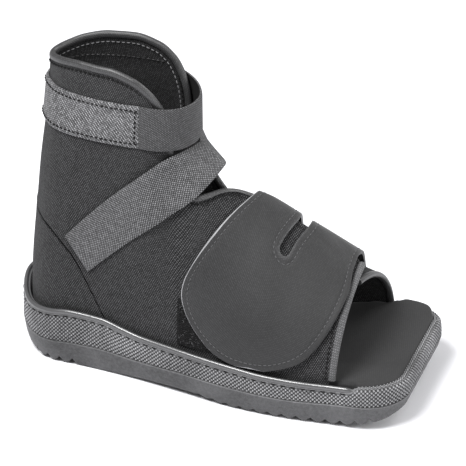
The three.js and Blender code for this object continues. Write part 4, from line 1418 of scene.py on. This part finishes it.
def flap_control():
    """A coarse grid of the flap's underside, from its near edge over the ridge to its far edge."""
    level = [(i,) + row for i, row in enumerate(FLAP_NEAR)]
    back_x, back_z, front_x, front_z = [smooth_column(level, k) for k in (1, 2, 3, 4)]
    share = np.linspace(0, 1, 16)
    rows = []
    for q in np.arange(8, 0, -0.5):
        x = mix(back_x(q), front_x(q), share)
        z = mix(back_z(q), front_z(q), share) - FLAP_THICKNESS
        rows.append(point_at_height("near", x, z, FLAP_LIFT))
    top = rib_points("near", mix(back_x(0), front_x(0), share), np.ones(1), FLAP_LIFT)[0][:, 0]
    rows.append(top)
    far_x = mix(*FLAP_FAR_X, share)
    end = point_at_height("far", far_x, FLAP_FAR_Z, LAY)
    rise = point_at_height("far", far_x, FLAP_FAR_Z + FLAP_THICKNESS, LAY)
    reach = np.linalg.norm(end - top, axis=-1, keepdims=True)
    down = end + unit(rise - end) * FLAP_END_PULL * reach
    across = FLAP_RIDGE_PULL * (end[:, 1] - top[:, 1])
    over = top + np.stack([0 * share, across, 0 * share - FLAP_RIDGE_DROP], -1)
    for t in np.arange(7, -1, -1) / 8:
        rows.append(bezier((end, down, over, top), t))
    columns = [soften(evenly(line, 145), 2) for line in np.stack(rows, 1)]
    return np.stack(columns, 1)[::6]


def dense_ends(last, count, margin):
    """Fractional grid numbers from 0 to last with a few more close to each end."""
    middle = np.linspace(margin, last - margin, count)
    near = np.array([0, 0.25, 0.6]) * margin
    return np.concatenate([near, middle, last - near[::-1]])


def edge_round(shape, thickness, fall):
    """Lift of a sheet's face that turns down along its border."""
    rows, cols = [np.minimum(np.arange(size), np.arange(size)[::-1]) for size in shape]
    depth = np.minimum(rows[:, None], cols)
    return thickness - fall * BORDER_FALLS[np.minimum(depth, len(BORDER_FALLS) - 1)]


def slot_middle():
    """The middle line of the slot seen from above, from its near end over the ridge."""
    return soften(evenly(np.array(SLOT_LINE), 200), 12)


def slot_distance(x, y):
    """Distance from the slot's edge seen from above, negative inside, and the way out of it."""
    place = np.stack([x, y], -1)
    middle = slot_middle()
    nearest = np.argmin(np.linalg.norm(place[..., None, :] - middle, axis=-1), axis=-1)
    offset = place - middle[nearest]
    return np.linalg.norm(offset, axis=-1) - SLOT_HALF, unit(offset)


def slot_ring(margin, count):
    """A ring round the slot, seen from above."""
    middle = slot_middle()
    ahead = unit(np.gradient(middle, axis=0))
    aside = np.stack([-ahead[:, 1], ahead[:, 0]], -1) * (SLOT_HALF + margin)
    half = np.linspace(0, math.pi, 24)[1:-1, None]
    far = middle[-1] + aside[-1] * np.cos(half) + ahead[-1] * np.sin(half) * (SLOT_HALF + margin)
    near = middle[0] - aside[0] * np.cos(half) - ahead[0] * np.sin(half) * (SLOT_HALF + margin)
    ring = np.concatenate([middle + aside, far, (middle - aside)[::-1], near, (middle + aside)[:1]])
    return evenly(ring, count)


def cloth_places(grid):
    """Lengths along and across a grid, in millimetres, from its middle row and column."""
    rows, cols = grid.shape[:2]
    along = run_along(grid[:, cols // 2])
    across = np.stack([run_along(line) for line in grid])
    across = across - across[:, cols // 2 : cols // 2 + 1]
    return np.stack([np.broadcast_to(along[:, None], (rows, cols)), across], -1)


def border_seam(tree, flat, out):
    """The stitch line inside the flap's near end and two sides, and the way out along it."""
    border, border_out = [np.concatenate([part[::-1, 0], part[0, 1:], part[1:, -1]]) for part in (flat, out)]
    inward = unit(np.cross(border_out, unit(np.gradient(border, axis=0))))
    if (inward * (flat.reshape(-1, 3).mean(0) - border)).sum() < 0:
        inward = -inward
    line = soften(evenly(border + inward * FLAP_STITCH_IN, 700), 12)
    return laid_on(tree, line, np.array([0, -0.4, 1.0]))


def slot_seam(tree):
    """The stitch line round the slot, and the way out along it."""
    ring = slot_ring(SLOT_STITCH_OUT, 160)
    hits = [tree.ray_cast(Vector((x, y, 300)), Vector((0, 0, -1))) for x, y in ring]
    line, out = [np.array([hit[k] for hit in hits]) for k in (0, 1)]
    return line, out * np.sign(out[:, 2:3])


def slot_cut(flat, out):
    """The faces that the slot takes out, the points on its edge, and how far those lie from the edge."""
    distance, away = slot_distance(flat[..., 0], flat[..., 1])
    inside = (distance < SLOT_TRIM) & (flat[..., 2] > SLOT_LOW)
    removed = any_corner(inside)
    on_edge = any_corner(np.pad(removed, 1)) & ~inside
    shift = np.where(on_edge, distance, 0)[..., None] * away
    drop = (out[..., :2] * shift).sum(-1) / np.maximum(out[..., 2], 0.3)
    return removed, on_edge, np.concatenate([shift, -drop[..., None]], -1)


class BOOT_OT_make_flap(bpy.types.Operator):
    """Make the broad forefoot flap with its pale cut edge, a painted highlight along its lit border, slot and
    stitch lines
    """

    bl_idname = "boot.make_flap"
    bl_label = "Forefoot flap"

    def execute(self, context):
        settings = context.scene.boot_cloth
        control = flap_control()
        sizes = zip(control.shape, FLAP_COUNTS)
        rows, cols = [dense_ends(size - 1.0, count, FLAP_MARGIN) for size, count in sizes]
        under_face = refine(control, rows, cols)
        out = grid_normals(under_face, np.array([0, -0.3, 1.0]))
        flat = under_face + out * FLAP_THICKNESS
        tree = surface_of(flat)
        seams = (border_seam(tree, flat, out), slot_seam(tree))
        outer = under_face + out * edge_round(flat.shape[:2], FLAP_THICKNESS, FLAP_FALL)[..., None]
        for (line, _), depth in zip(seams, FLAP_GROOVES):
            outer = press_along(outer, out, line, depth, 1.0)
        removed, on_edge, shift = slot_cut(flat, out)
        outer = outer - shift - out * (SLOT_FALL * on_edge)[..., None]
        under_face = under_face - shift
        # The pale cut-edge finish is painted onto the border's front faces as a painted highlight, except on
        # the toe's side, whose cut edge keeps the dark face finish as painted shade; points on the slot's
        # edge get a painted highlight too
        painted_highlight_rim = np.zeros(removed.shape, bool)
        painted_highlight_rim[:3] = True
        painted_highlight_rim[-2:] = True
        painted_highlight_rim[:, :3] = True
        painted_highlight_rim[:, -3:] = False
        painted_shade_toe_side = np.zeros(on_edge.shape, bool)
        painted_shade_toe_side[:, -1] = True
        looks = dict(edge=1, keep=~removed, hollow=SLOT_EDGE_HIGHLIGHT * on_edge, painted_highlight_rim=painted_highlight_rim, plain=painted_shade_toe_side)
        places = cloth_places(flat)
        mould = Mould()
        add_sheet(mould, outer, under_face, places, **looks)
        face = finish_material("flap_cloth", settings.flap_colour)
        pale_edge_and_highlight = finish_material("flap_core_and_highlight", settings.flap_edge_and_highlight_colour)
        piece = settle(mould.build("broad_flap", [face, pale_edge_and_highlight], sharp=50), "flap", "forefoot_flap")
        thread = Mould()
        for (line, line_out), sink in zip(seams, FLAP_SINKS):
            add_stitches(thread, line - line_out * sink, line_out, settings)
        pale = finish_material("flap_thread", settings.flap_thread_colour)
        stitches = settle(thread.build("flap_stitches", [pale]), "flap")
        return {"FINISHED"}


# Patch

PATCH_FALL = 0.3
TUFTS = 5200
TUFT_HALF = 0.13
TUFT_LEAN = 0.35
TUFT_LENGTH = (0.35, 0.85)
PALE_SHARE = 0.2
PILE_SEED = 7


class BOOT_OT_make_patch(bpy.types.Operator):
    """Make the fuzzy fastening patch under the flap, with its short pile"""

    bl_idname = "boot.make_patch"
    bl_label = "Fastening patch"

    def execute(self, context):
        settings = context.scene.boot_cloth
        x = np.linspace(*PATCH_X, 70)
        grid = np.stack([point_at_height("near", x, z, GAP) for z in np.linspace(*PATCH_Z, 34)])
        out = grid_normals(grid, np.array([0, -1.0, 0]))
        outer = grid + out * edge_round(grid.shape[:2], PATCH_THICKNESS, PATCH_FALL)[..., None]
        backing = finish_material("patch_backing", settings.patch_colour)
        places = cloth_places(grid)
        mould = Mould()
        add_sheet(mould, outer, grid, places)
        piece = settle(mould.build("pile_backing", [backing], sharp=60), "patch", "fastening_patch")
        fuzz = finish_material("patch_pile", settings.patch_colour)
        pale = finish_material("patch_pale_pile", settings.thread_colour)
        tufts = self.pile(outer, out).build("patch_pile", [fuzz, pale], sharp=80)
        settle(tufts, "patch")
        return {"FINISHED"}

    @staticmethod
    def pile(grid, out):
        """Short leaning tufts, three-sided, with pale ones in clumps."""
        chance = np.random.default_rng(PILE_SEED)
        i = chance.uniform(1, grid.shape[0] - 2, TUFTS)
        j = chance.uniform(1, grid.shape[1] - 2, TUFTS)
        row = i.astype(int)
        col = j.astype(int)
        root = grid[row, col]
        step_i = grid[row + 1, col] - root
        step_j = grid[row, col + 1] - root
        root = root + step_i * (i % 1)[:, None] + step_j * (j % 1)[:, None]
        up = out[row, col]
        lean = chance.normal(0, TUFT_LEAN, (TUFTS, 3))
        tip = root + unit(up + lean) * chance.uniform(*TUFT_LENGTH, TUFTS)[:, None]
        side = unit(np.cross(up, lean)) * TUFT_HALF
        other = unit(np.cross(up, side)) * TUFT_HALF
        points = np.stack([root + side, root - 0.5 * side + other, root - 0.5 * side - other, tip], 1)
        sides = ((0, 1, 3), (1, 2, 3), (2, 0, 3))
        mould = Mould()
        mould.add(points, [[4 * k + corner for corner in face] for k in range(TUFTS) for face in sides])
        clump = chance.uniform(0, 1, grid.shape[:2])[row, col] < PALE_SHARE
        mould.finish = np.repeat(clump, len(sides)).astype(int).tolist()
        return mould


# Straps

SELVAGE_FALL = 0.5

# Handles of the instep strap's bend, in shares of its reach, where it leaves the wall and at the front
INSTEP_LEAVE_PULL = 0.3
INSTEP_FRONT_PULL = 0.09
STRAP_BEND_POINTS = 90
BAND_STITCH_ROWS = (3, 26)
BAND_STITCH_COLUMN = 4
BAND_STITCH_WEIGHT = 1.7


def make_strap(name, node, grid, materials):
    """A webbing strap with rounded selvages, from a grid of its inner face. The last finish is its back's."""
    out = grid_normals(grid, away_from_leg(grid))
    lift = edge_round(grid.shape[:2], STRAP_THICKNESS, SELVAGE_FALL)
    mould = Mould()
    add_sheet(mould, grid + out * lift[..., None], grid, cloth_places(grid), back=len(materials) - 1)
    return settle(mould.build(name, materials, sharp=60), "webbing", node)


def band_grid():
    """The coarse band's inner face, round the back of the collar from seam to seam."""
    lines = []
    for z in np.linspace(*BAND_Z, STRAP_ROWS):
        sides = []
        for side in SIDES:
            seam = wall_point(side, np.array([BAND_SEAM_X]), z, LAY)
            points = point_at_height(side, wall_stations(side, -30.0, 0.8), z, LAY)
            points = points[points[:, 0] < BAND_SEAM_X - 0.2]
            points[0, 1] = 0
            sides.append(np.concatenate([points, seam]))
        lines.append(evenly(np.concatenate([sides[0][::-1], sides[1][1:]]), STRAP_COLUMNS))
    return np.stack(lines)


def loop_quarter(start, power, tip):
    """A rounded quarter turn from the side of the collar to the strap's foremost point."""
    angles = np.linspace(0, math.pi / 2, STRAP_BEND_POINTS)
    forward = np.sin(angles) ** (2 / power)
    aside = np.abs(np.cos(angles)) ** (2 / power)
    x = mix(start[0], LOOP_TIP_X, forward)
    return np.stack([x, start[1] * aside, mix(start[2], tip, forward)], -1)


def loop_grid():
    """The free strap's inner face, from the near seam round the front and over the band on the far side."""
    levels = np.linspace(*BAND_Z, STRAP_ROWS)
    tips = np.linspace(*LOOP_TIP_Z, STRAP_ROWS)
    lift = LAY + STRAP_THICKNESS + LAY
    ones = np.ones(STRAP_ROWS)
    near = wall_point("near", (BAND_SEAM_X + GAP) * ones, levels, LAY)
    far = wall_point("far", BAND_SEAM_X * ones, levels, lift)
    lap_x = np.linspace(BAND_SEAM_X, LOOP_END_X, 40)[1:]
    lines = []
    for k in range(STRAP_ROWS):
        lap = wall_point("far", lap_x, levels[k] + 0 * lap_x, lift)
        front = loop_quarter(near[k], LOOP_POWER_NEAR, tips[k])
        front[-1, 1] = 0
        back = loop_quarter(far[k], LOOP_POWER_FAR, tips[k])[::-1]
        lines.append(evenly(np.concatenate([front, back[1:], lap]), STRAP_COLUMNS))
    return np.stack(lines)


class BOOT_OT_make_ankle_straps(bpy.types.Operator):
    """Make the coarse band round the back of the collar and the free strap round the front"""

    bl_idname = "boot.make_ankle_straps"
    bl_label = "Ankle band and strap"

    def execute(self, context):
        settings = context.scene.boot_cloth
        coarse = finish_material("band_webbing", settings.band_colour)
        fine = finish_material("strap_webbing", settings.loop_colour)
        dark = finish_material("strap_back", settings.patch_colour)
        black = finish_material("band_thread", settings.dark_thread_colour)
        grid = band_grid()
        band = make_strap("coarse_ankle_band", "ankle_band", grid, [coarse])
        out = grid_normals(grid, away_from_leg(grid))
        thread = Mould()
        lines = [(grid[row], out[row], STRAP_THICKNESS + 0.02) for row in BAND_STITCH_ROWS]
        lines.append((grid[2:-2, BAND_STITCH_COLUMN], out[2:-2, BAND_STITCH_COLUMN], STRAP_THICKNESS))
        for line, line_out, lift in lines:
            add_stitches(thread, line + line_out * lift, line_out, settings, heavy=BAND_STITCH_WEIGHT)
        stitches = settle(thread.build("band_stitches", [black]), "webbing")
        grid = loop_grid()
        strap = make_strap("looped_ankle_strap", "ankle_strap", grid, [fine, dark])
        return {"FINISHED"}


def instep_grid():
    """The instep strap's inner face: one half up the near side to the front, and its mirror image."""
    lines = []
    share = np.linspace(0, 1, 70)
    lift = mix(LAY, INSTEP_FRONT_LIFT, smoothstep(0.45, 0.9, share))
    for width in np.linspace(0, 1, STRAP_ROWS):
        end, leave, front = mix(INSTEP_LOWER, INSTEP_UPPER, width)
        at = mix(end[None], leave[None], share[:, None])
        at[:, 1] += INSTEP_ARCH * np.sin(math.pi * share)
        wall = wall_point("near", at[:, 0], at[:, 1], lift)
        start = wall[-1]
        ahead = wall[-1] - wall[-8]
        ahead[1] = 0
        tip = np.array([front[0], 0, front[1]])
        reach = np.linalg.norm(start - tip)
        leaving = start + unit(ahead) * reach * INSTEP_LEAVE_PULL
        arriving = tip - np.array([0, reach * INSTEP_FRONT_PULL, 0])
        bend = (start, leaving, arriving, tip)
        half = np.concatenate([wall, bezier(bend, np.linspace(0, 1, 50)[1:, None])])
        half = soften(evenly(half, 170), 7)
        half[-1, 1] = 0
        lines.append(np.concatenate([half, half[-2::-1] * np.array([1, -1, 1])]))
    return np.stack(lines)


class BOOT_OT_make_instep_strap(bpy.types.Operator):
    """Make the webbing strap from each side of the heel over the front of the ankle"""

    bl_idname = "boot.make_instep_strap"
    bl_label = "Instep strap"

    def execute(self, context):
        settings = context.scene.boot_cloth
        webbing = finish_material("instep_webbing", settings.webbing_colour)
        dark = finish_material("instep_back", settings.patch_colour)
        grid = instep_grid()
        piece = make_strap("crossed_instep_strap", "instep_strap", grid, [webbing, dark])
        return {"FINISHED"}


# Stage

CAMERA_TARGET = (0.00735, 0.0, 0.1045)
SENSOR_WIDTH = 36
FLOOR_HALF = 6000

# Lights: place and size in metres
KEY_LIGHT = ((-0.42, -0.78, 1.66), 0.8)
FILL_LIGHT = ((1.6, -0.5, 0.8), 0.9)
BACK_LIGHT = ((1.0, 1.3, 1.2), 1.2)


def aim(thing, place, target):
    thing.location = place
    thing.rotation_euler = (Vector(target) - Vector(place)).to_track_quat("-Z", "Y").to_euler()


class BOOT_OT_make_stage(bpy.types.Operator):
    """Make the floor, the soft lights and the camera"""

    bl_idname = "boot.make_stage"
    bl_label = "Stage"

    def execute(self, context):
        scene = context.scene
        settings = scene.boot_stage
        corners = [(a * FLOOR_HALF, b * FLOOR_HALF, 0) for a, b in ((-1, -1), (1, -1), (1, 1), (-1, 1))]
        mould = Mould()
        mould.add(corners, [[0, 1, 2, 3]])
        paper = bpy.data.materials.new("floor_paper")
        paper.use_nodes = True
        surface = {"Base Color": (*settings.floor_colour, 1), "Roughness": 0.9, "Specular IOR Level": 0}
        feed(paper.node_tree, paper.node_tree.nodes["Principled BSDF"], surface)
        mould.build("floor", [paper])
        sky = bpy.data.worlds.new("studio")
        sky.use_nodes = True
        even_light = {"Color": (1, 1, 1, 1), "Strength": settings.sky}
        feed(sky.node_tree, sky.node_tree.nodes["Background"], even_light)
        scene.world = sky
        lights = (
            ("key_light", KEY_LIGHT, settings.key_power),
            ("fill_light", FILL_LIGHT, settings.fill_power),
            ("back_light", BACK_LIGHT, settings.back_power),
        )
        for name, (place, size), power in lights:
            data = bpy.data.lights.new(name, "AREA")
            data.size = size
            data.energy = power
            light = bpy.data.objects.new(name, data)
            scene.collection.objects.link(light)
            aim(light, place, CAMERA_TARGET)
        lens = bpy.data.cameras.new("camera")
        lens.lens = settings.focal
        lens.sensor_width = SENSOR_WIDTH
        camera = bpy.data.objects.new("camera", lens)
        scene.collection.objects.link(camera)
        level = math.cos(settings.elevation) * settings.distance
        place = (
            CAMERA_TARGET[0] + math.sin(settings.azimuth) * level,
            CAMERA_TARGET[1] - math.cos(settings.azimuth) * level,
            CAMERA_TARGET[2] + math.sin(settings.elevation) * settings.distance,
        )
        aim(camera, place, CAMERA_TARGET)
        scene.camera = camera
        scene.view_settings.view_transform = "Standard"
        return {"FINISHED"}


MAKERS = (
    BOOT_OT_make_outsole,
    BOOT_OT_make_welt,
    BOOT_OT_make_insole,
    BOOT_OT_make_upper,
    BOOT_OT_make_bindings,
    BOOT_OT_make_patch,
    BOOT_OT_make_flap,
    BOOT_OT_make_ankle_straps,
    BOOT_OT_make_instep_strap,
    BOOT_OT_make_stage,
)


class BOOT_PT_panel(bpy.types.Panel):
    """Steps and settings of the cast boot"""

    bl_idname = "BOOT_PT_panel"
    bl_label = "Cast boot"
    bl_space_type = "VIEW_3D"
    bl_region_type = "UI"
    bl_category = "Cast boot"

    def draw(self, context):
        for maker in MAKERS:
            self.layout.operator(maker.bl_idname)
        for group in (context.scene.boot_sole, context.scene.boot_cloth, context.scene.boot_stage):
            box = self.layout.box()
            for name in group.__annotations__:
                box.prop(group, name)


SETTINGS = (
    ("boot_sole", BootSoleSettings),
    ("boot_cloth", BootClothSettings),
    ("boot_stage", BootStageSettings),
)


def register():
    for name, group in SETTINGS:
        bpy.utils.register_class(group)
        setattr(bpy.types.Scene, name, PointerProperty(type=group))
    for maker in MAKERS:
        bpy.utils.register_class(maker)
    bpy.utils.register_class(BOOT_PT_panel)


def unregister():
    bpy.utils.unregister_class(BOOT_PT_panel)
    for maker in reversed(MAKERS):
        bpy.utils.unregister_class(maker)
    for name, group in reversed(SETTINGS):
        delattr(bpy.types.Scene, name)
        bpy.utils.unregister_class(group)


def main():
    register()
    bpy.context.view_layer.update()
    bpy.ops.boot.make_outsole()
    bpy.ops.boot.make_welt()
    bpy.ops.boot.make_insole()
    bpy.ops.boot.make_upper()
    bpy.ops.boot.make_bindings()
    bpy.ops.boot.make_patch()
    bpy.ops.boot.make_flap()
    bpy.ops.boot.make_ankle_straps()
    bpy.ops.boot.make_instep_strap()
    bpy.ops.boot.make_stage()


if __name__ == "__main__":
    main()
